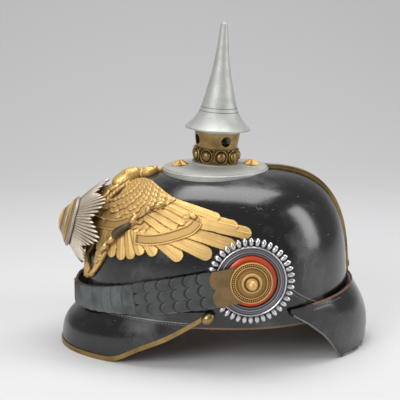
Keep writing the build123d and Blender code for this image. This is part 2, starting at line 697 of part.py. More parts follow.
def make_bead_ring():
    bore = BEAD_RING_RADIUS - BEAD_RING_WALL
    band = ring(BEAD_RING_RADIUS, bore, 0, BEAD_RING_HEIGHT)
    band += ring(BEAD_RIM_RADIUS, bore, 0, BEAD_RIM_HEIGHT)
    band += ring(BEAD_RIM_RADIUS, bore, BEAD_RING_HEIGHT - BEAD_RIM_HEIGHT, BEAD_RING_HEIGHT)
    oval = Polyline(*oval_points(BEAD_HALF_WIDTH, BEAD_HALF_HEIGHT), close=True)
    small = oval_points(BEAD_HALF_WIDTH * BEAD_TOP_SHARE, BEAD_HALF_HEIGHT * BEAD_TOP_SHARE)
    top = Polyline(*small, close=True)
    bead = loft([make_face(oval), Pos(0, 0, BEAD_RISE) * make_face(top)], ruled=True)
    for i in range(BEAD_COUNT):
        turn = -90 - COLLAR_VENT_TURN / 2 + (i + 0.5) * 360 / BEAD_COUNT
        seat = Pos(BEAD_RING_RADIUS - BEAD_RISE / 3, 0, BEAD_RING_HEIGHT / 2)
        spot = Rot(0, 0, turn) * seat * Rot(90, 0, 90)
        band += spot * bead
    return leaning() * band


def collar_profile(inset):
    """Solid inside of the collar's outer face, moved in by inset."""
    height = COLLAR_TOP - BEAD_RING_HEIGHT
    low = COLLAR_FOOT_RADIUS - inset
    high = COLLAR_TOP_RADIUS - inset
    return Pos(0, 0, BEAD_RING_HEIGHT) * Cone(low, high, height, align=UP)


def make_spike_collar():
    collar = collar_profile(0) - collar_profile(COLLAR_WALL)
    middle = (BEAD_RING_HEIGHT + COLLAR_TOP) / 2
    for i in range(COLLAR_VENT_COUNT):
        turn = -90 + COLLAR_VENT_TURN + i * 360 / COLLAR_VENT_COUNT
        drill = Rot(0, 0, turn) * Pos(COLLAR_FOOT_RADIUS, 0, middle) * Rot(0, 90, 0)
        collar -= drill * Cylinder(COLLAR_VENT_RADIUS, COLLAR_FOOT_RADIUS)
    return leaning() * collar


def make_collar_bridge():
    bar = Box(2 * COLLAR_TOP_RADIUS, BRIDGE_WIDTH, BRIDGE_HEIGHT, align=UP)
    hub = Cylinder(BRIDGE_HUB_RADIUS, BRIDGE_HEIGHT, align=UP)
    between_vents = Rot(0, 0, -90 + COLLAR_VENT_TURN + 180 / COLLAR_VENT_COUNT)
    bridge = Pos(0, 0, BRIDGE_LOW) * between_vents * (bar + hub)
    bridge &= collar_profile(COLLAR_WALL)
    bridge -= Pos(0, 0, BRIDGE_LOW) * Cylinder(STEM_RADIUS + RUNNING_GAP, 2 * COLLAR_TOP)
    return leaning() * bridge


def spike_low():
    """Height of the spike's seat above the neck."""
    return COLLAR_TOP + SPIKE_WASHER_HEIGHT + 2 * SEAT_GAP


def make_spike_washer():
    low = COLLAR_TOP + SEAT_GAP
    return leaning() * ring(COLLAR_TOP_RADIUS, SPIKE_WASHER_BORE, low, low + SPIKE_WASHER_HEIGHT)


def spike_outline(shares, wall):
    """Points of a concave taper, radius first."""
    return [(reach * SPIKE_RIM_RADIUS - wall, rise * SPIKE_HEIGHT) for rise, reach in shares]


def make_spike():
    rim_top = SPIKE_RIM_HEIGHT
    outer = [(radius, height + rim_top) for radius, height in spike_outline(SPIKE_TAPER_SHARES, 0)]
    tip = (0, rim_top + SPIKE_HEIGHT)
    seat = (SPIKE_SEAT_SHARE * SPIKE_RIM_RADIUS, 0)
    rim_low = (SPIKE_RIM_RADIUS, SPIKE_RIM_HEIGHT / 2)
    taper = Spline(outer)
    end_radius, end_height = outer[-1]
    cap = [(end_radius * wide, end_height + (tip[1] - end_height) * high) for wide, high in SPIKE_CAP_SHARES]
    inner = spike_outline(SPIKE_HOLLOW_SHARES, SPIKE_WALL)
    rest = Polyline(outer[-1], *cap, tip, (0, inner[-1][1]), *reversed(inner), seat, rim_low, outer[0])
    body = revolve(Plane.XZ * make_face([taper, *rest.edges()]), Axis.Z)
    return leaning() * Pos(0, 0, spike_low()) * body


def make_spike_stem():
    flange_radius = SPIKE_HOLLOW_SHARES[0][1] * SPIKE_RIM_RADIUS - SPIKE_WALL
    flange = Cylinder(flange_radius, STEM_FLANGE_HEIGHT, align=UP)
    taper = spike_outline(SPIKE_HOLLOW_SHARES, SPIKE_WALL)
    inside = Polyline((0, 0), *taper, (0, taper[-1][1]), close=True)
    flange &= revolve(Plane.XZ * make_face(inside), Axis.Z)
    stem = Cylinder(STEM_RADIUS, STEM_LENGTH, align=DOWN)
    return leaning() * Pos(0, 0, spike_low()) * (flange + stem)


# Eagle plate and what is mounted on it
def placed_shares(shares, low_x, high_x, low_z, high_z):
    return [(low_x + x * (high_x - low_x), low_z + z * (high_z - low_z)) for x, z in shares]


def left_prism(points):
    """Prism from the centre line to the wearer's left of an outline in side view."""
    return extrude(Plane.XZ * make_face(Polyline(*points, close=True)), amount=SIDE_REACH)


def front_prism(points):
    """Prism through the front of the skull of an outline in front view, and its mirror image."""
    face = make_face(Polyline(*points, close=True))
    view = Plane(origin=(0, 0, 0), x_dir=(0, -1, 0), z_dir=(-1, 0, 0))
    half = extrude(view * face, amount=SIDE_REACH + OVERRUN)
    return half + mirrored(half)


def wing_points(shares):
    return placed_shares(shares, WING_FRONT_X, WING_TIP_X, WING_LOW_Z, WING_TOP_Z)


def body_points(shares):
    return placed_shares(shares, 0, BODY_HALF_WIDTH, TAIL_LOW_Z, BODY_TOP_Z)


def neck_sections(margin=0.0):
    """Ovals that climb the centre line from the breast to the head, grown by a margin."""
    sections = []
    length = CROWN_TIP_X - NECK_FOOT_X
    for (along, rise), half in zip(NECK_RISE_SHARES, NECK_HALF_SHARES):
        x = NECK_FOOT_X + along * length
        lift = HEAD_RISE * rise
        middle = (x - lift / 3, 0, neck_surface_z(x) + lift)
        plane = Plane(origin=middle, x_dir=(0, 1, 0), z_dir=(1, 0, 1 - along))
        width = HEAD_HALF_WIDTH * half + margin
        sections.append(plane * Ellipse(width, width * NECK_FLAT_SHARE))
    return sections


def neck_surface_z(x):
    """Height of the dome on the centre line."""
    wide = (WIDEST_X - x) / SKULL_FRONT
    return RIM_Z + SKULL_HEIGHT * (1 - wide**DOME_ROUNDNESS) ** (1 / DOME_ROUNDNESS)


def make_crown():
    points = [(reach * CROWN_RADIUS, rise * CROWN_LENGTH) for rise, reach in CROWN_SHARES]
    profile = Polyline((0, 0), *points, (0, CROWN_LENGTH), close=True)
    crown = revolve(Plane.XZ * make_face(profile), Axis.Z)
    x = CROWN_TIP_X - CROWN_LENGTH
    return Pos(x, 0, neck_surface_z(x) + HEAD_RISE * CROWN_SEAT_SHARE) * Rot(0, CROWN_TILT, 0) * crown


def make_eagle_plate():
    wing = left_prism(wing_points(WING_SHARES)) & dome(PLATE_THICKNESS)
    covert = left_prism(wing_points(COVERT_SHARES)) & dome(RELIEF_THICKNESS)
    legs = front_prism(body_points(LEG_SHARES)) & dome(RELIEF_THICKNESS)
    body = front_prism(body_points(BODY_SHARES)) & dome(RELIEF_THICKNESS)
    plate = body + legs + wing + covert + mirrored(wing) + mirrored(covert)
    plate += loft(neck_sections()) + make_crown()
    plate -= dome(SEAT_GAP)
    for hole in (star_screw_body(), plate_post(), mirrored(plate_post())):
        plate -= hole
    return plate


def scroll_body(margin):
    """Scroll on the left wing, filled down to the middle of the skull."""
    return left_prism(wing_points(SCROLL_SHARES)) & dome(RELIEF_THICKNESS + SCROLL_THICKNESS + margin)


def make_scrolls():
    return both_sides(scroll_body(0) - dome(RELIEF_THICKNESS + SEAT_GAP) - star_screw_body())


def rod_path():
    """Middle line of the sceptre, bent over the wing above the scroll."""
    outset = RELIEF_THICKNESS + SCROLL_THICKNESS + ROD_LIFT
    places = wing_points(ROD_PATH_SHARES)
    return Spline([(x, -surface_y(x, z, outset), z) for x, z in places])


def turned_rod(shares):
    """Turned rod along that line, flat where it lies on the scroll and the plate."""
    path = rod_path()
    sections = []
    for along, reach in shares:
        plane = Plane(origin=path @ along, x_dir=(0, 1, 0), z_dir=path % along)
        sections.append(plane * RegularPolygon(reach * ROD_RADIUS, ROD_SIDES))
    return loft(sections, ruled=True) - dome(RELIEF_THICKNESS + SEAT_GAP) - scroll_body(SEAT_GAP)


def make_sceptre():
    return turned_rod(SCEPTRE_SHARES)


def make_sword():
    path = rod_path()
    spot = Plane(origin=path @ GUARD_SHARE, x_dir=path % GUARD_SHARE, z_dir=(0, -1, 1))
    guard = spot * Rot(90, 0, 0) * Cylinder(GUARD_RADIUS, 2 * GUARD_HALF_LENGTH)
    guard -= dome(RELIEF_THICKNESS + SCROLL_THICKNESS + SEAT_GAP)
    return mirrored(turned_rod(SWORD_SHARES) + guard)


def star_reach(angle):
    """Length of the ray at an angle from upright, with long and short points in turn."""
    point_angle = 360 / STAR_POINT_COUNT
    nearest = round(angle / point_angle)
    away = abs(angle - nearest * point_angle) / (point_angle / 2)
    tip = STAR_LONG if nearest % 2 == 0 else STAR_SHORT
    return tip * (1 - away * (1 - STAR_NOTCH_SHARE))


def guard_star_face():
    step = 360 / STAR_RAY_COUNT
    corners = []
    for i in range(STAR_RAY_COUNT):
        for turn, share in ((0, 1), (0.5, STAR_GROOVE_SHARE)):
            angle = (i + turn) * step
            reach = star_reach(angle) * share
            corners.append((reach * math.sin(math.radians(angle)), reach * math.cos(math.radians(angle))))
    return make_face(Polyline(*corners, close=True))


def star_cone(inset):
    """Cone from the medallion's edge back to the skull, moved in by inset."""
    foot = Pos(0, STAR_FOOT_RISE, -STAR_DEPTH - inset) * Ellipse(STAR_FOOT_HALF_WIDTH, STAR_FOOT_HALF_HEIGHT)
    return loft([foot, Pos(0, 0, -inset) * Circle(STAR_TOP_RADIUS)])


def make_guard_star():
    rays = extrude(guard_star_face(), amount=STAR_DEPTH + OVERRUN, both=True)
    star = star_plane() * ((star_cone(0) - star_cone(STAR_WALL)) & rays)
    star -= star_screw_body()
    return star - dome(RELIEF_THICKNESS + SCROLL_THICKNESS + SEAT_GAP) - loft(neck_sections(SEAT_GAP))


def medal_part(low_share, high_share):
    points = [(reach * MEDAL_RADIUS, rise * MEDAL_HEIGHT) for rise, reach in MEDAL_SHARES]
    medal = revolve(Plane.XZ * make_face(Polyline(*points, close=True)), Axis.Z)
    height = (high_share - low_share) * MEDAL_HEIGHT
    slab = Cylinder(2 * MEDAL_RADIUS, height, align=UP)
    return star_plane() * (medal & Pos(0, 0, low_share * MEDAL_HEIGHT) * slab)


def make_star_screw():
    low = STAR_SCREW_LENGTH - NUT_HEIGHT
    nut = Rot(180, 0, 0) * hex_nut(NUT_RADIUS, NUT_HEIGHT, STAR_SCREW_RADIUS / 2)
    return star_screw_body() + star_plane() * Pos(0, 0, -low) * nut


def make_plate_posts():
    return both_sides(plate_post())


def make_plate_nuts():
    start = Plane(origin=(plate_post_x(), -PLATE_POST_Y, PLATE_POST_Z), x_dir=(0, -1, 0), z_dir=(1, 0, 0))
    offset_in = PLATE_POST_LENGTH - NUT_HEIGHT
    return both_sides(start * Pos(0, 0, offset_in) * hex_nut(NUT_RADIUS, NUT_HEIGHT, PLATE_POST_RADIUS))


# Cockades and rosettes, made for the wearer's left
def toothed_face():
    step = 2 * math.pi / TOOTH_COUNT
    corners = []
    for i in range(TOOTH_COUNT):
        for turn, reach in ((0, TOOTH_TIP_RADIUS), (0.5, TOOTH_ROOT_RADIUS)):
            corners.append((reach * math.cos((i + turn) * step), reach * math.sin((i + turn) * step)))
    return make_face(Polyline(*corners, close=True))


def make_cockade():
    teeth = extrude(toothed_face(), amount=TOOTH_THICKNESS)
    points = [(reach * COCKADE_RING_RADIUS, rise * COCKADE_HEIGHT) for reach, rise in COCKADE_RING_SHARES]
    rings = revolve(Plane.XZ * make_face(Polyline(*points, close=True)), Axis.Z)
    disc = teeth + rings - Cylinder(POST_RADIUS, 4 * COCKADE_HEIGHT)
    return rosette_plane() * disc - dome(SEAT_GAP)


def make_cockade_red():
    low = TOOTH_THICKNESS
    return rosette_plane() * ring(RED_RING_OUTER, RED_RING_INNER, low, low + RED_RING_HEIGHT)


def make_rosette():
    points = [(reach * ROSETTE_RADIUS, rise * ROSETTE_HEIGHT) for rise, reach in ROSETTE_SHARES]
    rosette = revolve(Plane.XZ * make_face(Polyline((0, 0), *points, close=True)), Axis.Z)
    rosette += Pos(0, 0, ROSETTE_HEIGHT + KNOB_BALL_RADIUS * KNOB_SEAT_SHARE) * Sphere(KNOB_BALL_RADIUS)
    rosette -= Cylinder(POST_RADIUS, ROSETTE_HEIGHT)
    return rosette_plane() * Pos(0, 0, ROSETTE_SEAT) * rosette


def make_rosette_post():
    inside = SKULL_WALL + POST_NUT_SEAT + NUT_HEIGHT
    post = post_cylinder(POST_RADIUS, -inside, ROSETTE_SEAT + ROSETTE_HEIGHT / 2)
    nut = rosette_plane() * Pos(0, 0, -inside) * hex_nut(POST_NUT_RADIUS, NUT_HEIGHT, POST_RADIUS / 2)
    return post + nut


# Chin scales, made for the wearer's left
@cache
def walk_table():
    """Angle on the path's ellipse against the length walked from its widest point to the front."""
    table = [(0.0, 0.0)]
    walked = 0.0
    step = math.pi / 2 / WALK_STEPS
    for i in range(WALK_STEPS):
        angle = (i + 0.5) * step
        walked += math.hypot(BAND_FRONT * math.cos(angle), BAND_SIDE * math.sin(angle)) * step
        table.append((walked, (i + 1) * step))
    return table


def band_angle(walked):
    """Angle on the ellipse after a walk, from 0 at the side to a right angle at the front."""
    for (low, low_angle), (high, high_angle) in zip(walk_table(), walk_table()[1:]):
        if walked <= high:
            return low_angle + (high_angle - low_angle) * (walked - low) / (high - low)
    return walk_table()[-1][1]


def band_length():
    return walk_table()[-1][0]


def band_height(x):
    """Middle of the band at a place along the helmet."""
    front = WIDEST_X - BAND_FRONT
    rise = (ROSETTE_Z - BAND_FRONT_Z) / (ROSETTE_X - front)
    return BAND_FRONT_Z + (x - front) * rise


def band_half(x):
    """Half the band's width at a place along the helmet."""
    front = WIDEST_X - BAND_FRONT
    if x > BAND_MIDDLE_X:
        share = (x - BAND_MIDDLE_X) / (ROSETTE_X - BAND_MIDDLE_X)
        return BAND_HALF_MIDDLE + share * (BAND_HALF_SIDE - BAND_HALF_MIDDLE)
    share = (x - front) / (BAND_MIDDLE_X - front)
    return BAND_HALF_FRONT + share * (BAND_HALF_MIDDLE - BAND_HALF_FRONT)


def band_point(walked, inset=0.0):
    """Point of the path after a walk, moved in by inset."""
    angle = band_angle(walked)
    x = WIDEST_X - (BAND_FRONT - inset) * math.sin(angle)
    y = -(BAND_SIDE - inset) * math.cos(angle)
    return Vector(x, y, band_height(x))


def scale_edge(index):
    """Length walked to the free edge of a scale."""
    return SCALE_FIRST + index * SCALE_PITCH


def band_turn(walked):
    """Sine of the angle by which the path bends over one scale."""
    ahead = (band_point(walked) - band_point(walked - SCALE_PITCH)).normalized()
    behind = (band_point(walked - SCALE_PITCH) - band_point(walked - 2 * SCALE_PITCH)).normalized()
    return ahead.cross(behind).length


def scale_plane(walked, drop):
    """Plane of a plate that ends at walked: x runs on to the front, z out, its rear end lower by drop."""
    end = band_point(walked)
    along = (end - band_point(walked - SCALE_PITCH)).normalized()
    outward = Vector(-along.Y, along.X, 0).normalized()
    run = (along * SCALE_PITCH + outward * drop).normalized()
    return Plane(origin=end, x_dir=run, z_dir=outward - run * outward.dot(run))


def lobed_outline(length, width, lobe):
    """Plate with a straight rear end and three round lobes at its free edge."""
    low, high = -width / 2, width / 2
    third = width / 3
    side = -lobe
    middle = ThreePointArc((side, low + third), (lobe / 2, 0), (side, high - third))
    lower = ThreePointArc((side, low), (-lobe / 4, low + third / 2), (side, low + third))
    upper = ThreePointArc((side, high - third), (-lobe / 4, high - third / 2), (side, high))
    back = Polyline((side, high), (-length, high), (-length, low), (side, low))
    return make_face([lower, middle, upper, *back.edges()])


def plain_outline(length, width, lobe):
    """Plate with a straight rear end and one shallow round edge."""
    arc = ThreePointArc((-lobe, -width / 2), (lobe / 3, 0), (-lobe, width / 2))
    back = Polyline((-lobe, width / 2), (-length, width / 2), (-length, -width / 2), (-lobe, -width / 2))
    return make_face([arc, *back.edges()])


def make_scale(index):
    walked = scale_edge(index)
    width = 2 * band_half(band_point(walked - SCALE_PITCH / 2).X)
    lobe = LOBE_SHARE * SCALE_PITCH
    length = SCALE_PITCH + lobe / 2
    drop = 0
    if index:
        length += SCALE_LAP
        drop = SCALE_THICKNESS + SCALE_GAP + SCALE_LAP * band_turn(walked)
    if index < LARGE_COUNT:
        face = lobed_outline(length, width, lobe)
    else:
        face = plain_outline(length, SMALL_WIDTH_SHARE * width, lobe)
    return scale_plane(walked, drop) * extrude(face, amount=-SCALE_THICKNESS)


def make_scales(segment):
    return Compound(children=[make_scale(index).solids()[0] for index in SEGMENT_EDGES[segment]])


def band_sector(low, high, inset, thickness):
    """Upright curved wall along the path between two walked lengths."""
    walks = [low + (high - low) * i / BAND_STEPS for i in range(BAND_STEPS + 1)]
    outer = [band_point(walked, inset) for walked in walks]
    inner = [band_point(walked, inset + thickness) for walked in walks]
    flat_outer = Spline([(p.X, p.Y) for p in outer])
    flat_inner = Spline([(p.X, p.Y) for p in reversed(inner)])
    ends = [Line(flat_outer @ 1, flat_inner @ 0), Line(flat_inner @ 1, flat_outer @ 0)]
    face = make_face([flat_outer, ends[0], flat_inner, ends[1]])
    return extrude(face, amount=2 * SIDE_REACH)


def band_side_face(margin):
    """Outline of the band in side view, narrower by margin at each edge."""
    xs = [ROSETTE_X + OVERRUN, BAND_MIDDLE_X, WIDEST_X - BAND_FRONT - OVERRUN]
    halves = [band_half(min(max(x, WIDEST_X - BAND_FRONT), ROSETTE_X)) - margin for x in xs]
    top = [(x, band_height(x) + half) for x, half in zip(xs, halves)]
    low = [(x, band_height(x) - half) for x, half in zip(xs, halves)]
    return Polyline(*top, *reversed(low), close=True)


def segment_walks(segment):
    """Walked lengths between which a segment's leather runs."""
    starts = [scale_edge(SEGMENT_EDGES[segment][0]) - SCALE_PITCH / 2]
    if segment:
        starts = [scale_edge(SEGMENT_EDGES[segment][0]) - SCALE_PITCH + FLEX_AFTER]
    if segment == len(SEGMENT_EDGES) - 1:
        return starts[0], band_length() - BAND_END_GAP
    return starts[0], scale_edge(SEGMENT_EDGES[segment][-1]) - FLEX_BEFORE


def make_leather(segment):
    low, high = segment_walks(segment)
    wall = band_sector(low, high, LEATHER_OUTER, LEATHER_THICKNESS)
    return wall & side_prism(band_side_face(LEATHER_EDGE).edges())


def make_boss_plate():
    """Flat brass plate that turns on the rosette's post and carries the first scales."""
    slope = math.degrees(math.atan((ROSETTE_Z - BAND_FRONT_Z) / (ROSETTE_X - WIDEST_X + BAND_FRONT)))
    width = 2 * band_half(-BOSS_PLATE_EDGE / 3)
    half = width / 2
    lobe = LOBE_SHARE * SCALE_PITCH
    edge = -BOSS_PLATE_EDGE
    lower = ThreePointArc((edge + lobe, -half), (edge, -half / 2), (edge + lobe, 0))
    upper = ThreePointArc((edge + lobe, 0), (edge, half / 2), (edge + lobe, half))
    back = Polyline((edge + lobe, half), (-BOSS_PLATE_RADIUS, half), (0, BOSS_PLATE_RADIUS))
    round_end = ThreePointArc((0, BOSS_PLATE_RADIUS), (BOSS_PLATE_RADIUS, 0), (0, -BOSS_PLATE_RADIUS))
    foot = Polyline((0, -BOSS_PLATE_RADIUS), (-BOSS_PLATE_RADIUS, -half), (edge + lobe, -half))
    face = make_face([lower, upper, *back.edges(), round_end, *foot.edges()])
    face -= Circle(POST_RADIUS + RUNNING_GAP)
    plate = extrude(face, amount=BOSS_PLATE_THICKNESS)
    return rosette_plane() * Pos(0, 0, SCALE_PLATE_Z) * Rot(0, 0, slope) * plate


def end_plane():
    """Plane of the strap's last stretch, at the band's front end."""
    return scale_plane(band_length() - BAND_END_GAP, 0)


def make_buckle():
    frame = Rectangle(BUCKLE_LENGTH, BUCKLE_WIDTH, align=(Align.MAX, Align.CENTER))
    window = Pos(-BUCKLE_BAR, 0) * Rectangle(
        BUCKLE_LENGTH - 2 * BUCKLE_BAR, BUCKLE_WIDTH - 2 * BUCKLE_BAR, align=(Align.MAX, Align.CENTER)
    )
    body = extrude(frame - window, amount=BUCKLE_THICKNESS)
    prong = Pos(-BUCKLE_BAR / 2, 0, BUCKLE_THICKNESS / 2) * Rot(0, -90, 0) * Cylinder(
        PRONG_RADIUS, BUCKLE_LENGTH - BUCKLE_BAR, align=UP
    )
    return end_plane() * Pos(0, 0, BUCKLE_SEAT - LEATHER_OUTER) * (body + prong)


def make_strap_tip():
    lobe = LOBE_SHARE * SCALE_PITCH
    face = plain_outline(TIP_LENGTH, BUCKLE_WIDTH, lobe)
    plate = Pos(-lobe / 3, 0, BUCKLE_SEAT - LEATHER_OUTER) * extrude(face, amount=SCALE_THICKNESS)
    return mirrored(end_plane() * plate)


# Liner
def make_sweatband():
    shell = inner_dome(SKULL_WALL + SEAT_GAP) - inner_dome(SKULL_WALL + SWEATBAND_THICKNESS)
    return shell & level_slab(BAND_INSIDE_LOW_Z, BAND_INSIDE_TOP_Z)


@cache
def tongue_dome(inset):
    """Low round dome that the tongues bend over."""
    sections = []
    start = SKULL_WALL + SWEATBAND_THICKNESS + SEAT_GAP + inset
    for angle in TONGUE_ANGLES:
        high, wide = dome_shares(angle, TONGUE_ROUNDNESS)
        reaches = [wide * (reach - start) for reach in (SKULL_FRONT, SKULL_REAR, SKULL_HALF_WIDTH)]
        sections.append(egg(*reaches, TONGUE_ROOT_Z + (TONGUE_DOME_HEIGHT - inset) * high))
    return loft(sections)


def make_liner_tongues():
    shell = (tongue_dome(0) - tongue_dome(TONGUE_THICKNESS)) & level_slab(TONGUE_LOW_Z, TONGUE_TOP_Z)
    slot = Box(2 * SKULL_FRONT, TONGUE_SLOT, 2 * SKULL_HEIGHT, align=(Align.MIN, Align.CENTER, Align.CENTER))
    for i in range(TONGUE_COUNT):
        turn = (i + 0.5) * 360 / TONGUE_COUNT
        shell -= Pos(WIDEST_X, 0, TONGUE_LOW_Z) * Rot(0, 0, turn) * slot
    return Compound(children=list(shell.solids()))


def make_liner_lace():
    shell = tongue_dome(TONGUE_THICKNESS) - tongue_dome(TONGUE_THICKNESS + LACE_THICKNESS)
    return shell & level_slab(LACE_Z, LACE_Z + LACE_HEIGHT)


def save(name, shape):
    export_step(shape, f"parts/{name}.step")


def left_and_right(name, shape):
    save(f"{name}_left", shape)
    save(f"{name}_right", mirrored(shape))


def main():
    os.makedirs("parts", exist_ok=True)
    save("skull", make_skull())
    save("front_visor", make_front_visor())
    save("visor_trim", make_visor_trim())
    save("trim_ball_rivets", make_trim_ball_rivets())
    save("rear_visor", make_rear_visor())
    save("rear_spine", make_rear_spine())
    save("spine_screw", make_spine_screw())
    save("base_disc", make_base_disc())
    save("base_star_studs", make_base_star_studs())
    save("base_washer", make_base_washer())
    save("stud_nuts", make_stud_nuts())
    save("bead_ring", make_bead_ring())
    save("spike_collar", make_spike_collar())
    save("collar_bridge", make_collar_bridge())
    save("spike_washer", make_spike_washer())
    save("spike", make_spike())
    save("spike_stem", make_spike_stem())
    save("eagle_plate", make_eagle_plate())
    save("scrolls", make_scrolls())
    save("sceptre", make_sceptre())
    save("sword", make_sword())
    save("guard_star", make_guard_star())
    save("medallion_ring", medal_part(0, MEDAL_SPLIT_SHARE))
    save("medallion_boss", medal_part(MEDAL_SPLIT_SHARE, 1))
    save("star_screw", make_star_screw())
    save("plate_posts", make_plate_posts())
    save("plate_nuts", make_plate_nuts())
    left_and_right("cockade", make_cockade())
    left_and_right("cockade_red", make_cockade_red())
    left_and_right("rosette", make_rosette())
    left_and_right("rosette_post", make_rosette_post())
    left_and_right("chin_plate", make_boss_plate())
    for segment in range(len(SEGMENT_EDGES)):
        left_and_right(f"chin_scales_{segment + 1}", make_scales(segment))
        left_and_right(f"chin_leather_{segment + 1}", make_leather(segment))
    save("strap_buckle", make_buckle())
    save("strap_tip", make_strap_tip())
    save("sweatband", make_sweatband())
    save("liner_tongues", make_liner_tongues())
    save("liner_lace", make_liner_lace())


main()
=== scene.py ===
# %% [markdown]
# The helmet was modelled in CAD first. That model is a fixed frame: it gives the true size and place of
# every part, and which parts move together. This script never moves it. It gives the plain solids their
# finishes and adds the fine work that a CAD model leaves out, such as feathers, rays, beads and stitches.
# Loading the frame before anything else keeps both models in one coordinate system, in metres, with the
# floor at zero.

# %% Load the frame
import json
import math

import bpy
import numpy as np
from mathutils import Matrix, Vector
from mathutils.bvhtree import BVHTree


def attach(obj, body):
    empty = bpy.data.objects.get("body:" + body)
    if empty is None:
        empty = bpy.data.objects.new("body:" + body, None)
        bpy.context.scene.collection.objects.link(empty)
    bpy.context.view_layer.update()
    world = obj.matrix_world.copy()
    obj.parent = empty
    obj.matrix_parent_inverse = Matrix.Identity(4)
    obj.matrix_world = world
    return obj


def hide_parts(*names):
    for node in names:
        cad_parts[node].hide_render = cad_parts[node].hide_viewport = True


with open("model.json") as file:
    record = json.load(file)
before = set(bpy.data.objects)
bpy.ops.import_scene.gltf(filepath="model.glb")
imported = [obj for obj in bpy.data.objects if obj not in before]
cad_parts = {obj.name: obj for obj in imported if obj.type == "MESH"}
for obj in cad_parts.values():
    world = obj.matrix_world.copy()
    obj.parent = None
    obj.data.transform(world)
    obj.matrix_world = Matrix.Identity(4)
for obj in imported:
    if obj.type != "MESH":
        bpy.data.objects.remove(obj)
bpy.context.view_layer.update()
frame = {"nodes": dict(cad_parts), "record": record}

MM = 0.001
print("nodes in the frame:", len(frame["nodes"]))

# %% [markdown]
# A picture can only be matched from the place where it was taken. The camera stands a metre off the
# helmet's left side and a little above it, with a long lens, as one would set a product shot. The same
# numbers also let us send a ray through any point of the picture and find where it lands on the helmet.

# %% Camera
CAMERA_SPOT = Vector((-66.25, -1025.65, 342.62)) * MM
CAMERA_BACK = Vector((-0.05119, -0.97681, 0.20791))
PICTURE_SIDE = 400
LENS, SENSOR = 108.0, 36.0


def add_object(name, data):
    thing = bpy.data.objects.new(name, data)
    bpy.context.collection.objects.link(thing)
    return thing


def aim(thing, place, direction):
    thing.location = place
    thing.rotation_mode = "QUATERNION"
    thing.rotation_quaternion = direction.to_track_quat("-Z", "Y")


camera = add_object("camera", bpy.data.cameras.new("camera"))
aim(camera, CAMERA_SPOT, -CAMERA_BACK)
camera.data.lens = LENS
camera.data.sensor_width = SENSOR
bpy.context.scene.camera = camera
view = camera.rotation_quaternion.to_matrix()
right_of_view, up_of_view = view.col[0], view.col[1]


def picture_ray(px, py):
    """Direction from the camera through a point of the picture."""
    reach = LENS / SENSOR * PICTURE_SIDE
    half = PICTURE_SIDE / 2
    return (-CAMERA_BACK * reach + right_of_view * (px - half) + up_of_view * (half - py)).normalized()


print("camera", [round(v, 3) for v in camera.location])

# %% [markdown]
# A studio shot of black leather and gilt needs broad, soft lights, because glossy black shows nothing but
# their reflections. The floor curves up into the backdrop so that no horizon line cuts through the picture.
# Both are plain and pale.

# %% Floor and backdrop
BEND, WALL, FLOOR_HALF = 0.9, 1.6, 3.2
BEND_STEPS = 12
FLOOR_START, WALL_TOP = -2.4, 3.0


def set_inputs(node, values):
    for label, value in values.items():
        node.inputs[label].default_value = value


def new_material(name):
    material = bpy.data.materials.new(name)
    material.use_nodes = True
    return material, material.node_tree.nodes["Principled BSDF"]


def sweep_floor():
    """Level floor that bends up into a wall behind the helmet."""
    profile = [(FLOOR_START, 0.0)]
    for step in range(BEND_STEPS + 1):
        angle = math.pi / 2 * step / BEND_STEPS
        profile.append((WALL - BEND + BEND * math.sin(angle), BEND - BEND * math.cos(angle)))
    profile.append((WALL, WALL_TOP))
    points = [(x, y, z) for y, z in profile for x in (-FLOOR_HALF, FLOOR_HALF)]
    faces = [(2 * k, 2 * k + 1, 2 * k + 3, 2 * k + 2) for k in range(len(profile) - 1)]
    mesh = bpy.data.meshes.new("studio_floor")
    mesh.from_pydata(points, [], faces)
    mesh.polygons.foreach_set("use_smooth", [True] * len(faces))
    floor = add_object("studio_floor", mesh)
    paper, shader = new_material("studio paper")
    set_inputs(shader, {"Base Color": (0.72, 0.72, 0.73, 1), "Roughness": 0.8})
    mesh.materials.append(paper)
    return floor


floor = sweep_floor()
print("floor faces", len(floor.data.polygons))

# %% Lights
HELMET_MIDDLE = Vector((0, 0, 0.12))


def soft_light(name, place, size, power):
    lamp = bpy.data.lights.new(name, "AREA")
    lamp.shape = "RECTANGLE"
    lamp.size, lamp.size_y = size
    lamp.energy = power
    aim(add_object(name, lamp), place, HELMET_MIDDLE - Vector(place))


soft_light("key_from_front_left", (-0.75, -0.95, 0.75), (0.7, 0.7), 9.0)
soft_light("overhead", (0.05, 0.1, 1.15), (0.9, 0.7), 9.0)
soft_light("rear_strip", (1.1, -0.25, 0.55), (0.35, 0.9), 5.0)
world = bpy.data.worlds.new("studio")
bpy.context.scene.world = world
world.use_nodes = True
set_inputs(world.node_tree.nodes["Background"], {"Color": (1, 1, 1, 1), "Strength": 0.3})
bpy.context.scene.view_settings.view_transform = "Standard"
print("lights", len(bpy.data.lights))

# %% [markdown]
# Every finish on the helmet varies over its surface. Effects that several finishes share are node groups:
# one for metal that has darkened in patches, and is darker still under a mask of painted shade in its
# recesses and of darker parts, one for leather grain with scuffs. A group gives only colours, masks and
# heights; the shader stays in each material, so that each one sets its own gloss.

# %% Node helpers
def node_group(name, inputs):
    """A group with these inputs, which gives a colour, a roughness and a height."""
    group = bpy.data.node_groups.new(name, "ShaderNodeTree")
    for label, value in inputs.items():
        kind = "NodeSocketColor" if isinstance(value, tuple) else "NodeSocketFloat"
        group.interface.new_socket(label, in_out="INPUT", socket_type=kind).default_value = value
    for label, kind in (("Color", "Color"), ("Roughness", "Float"), ("Height", "Float")):
        group.interface.new_socket(label, in_out="OUTPUT", socket_type="NodeSocket" + kind)
    place = group.nodes.new("ShaderNodeTexCoord").outputs["Object"]
    return group, group.nodes.new("NodeGroupInput").outputs, place


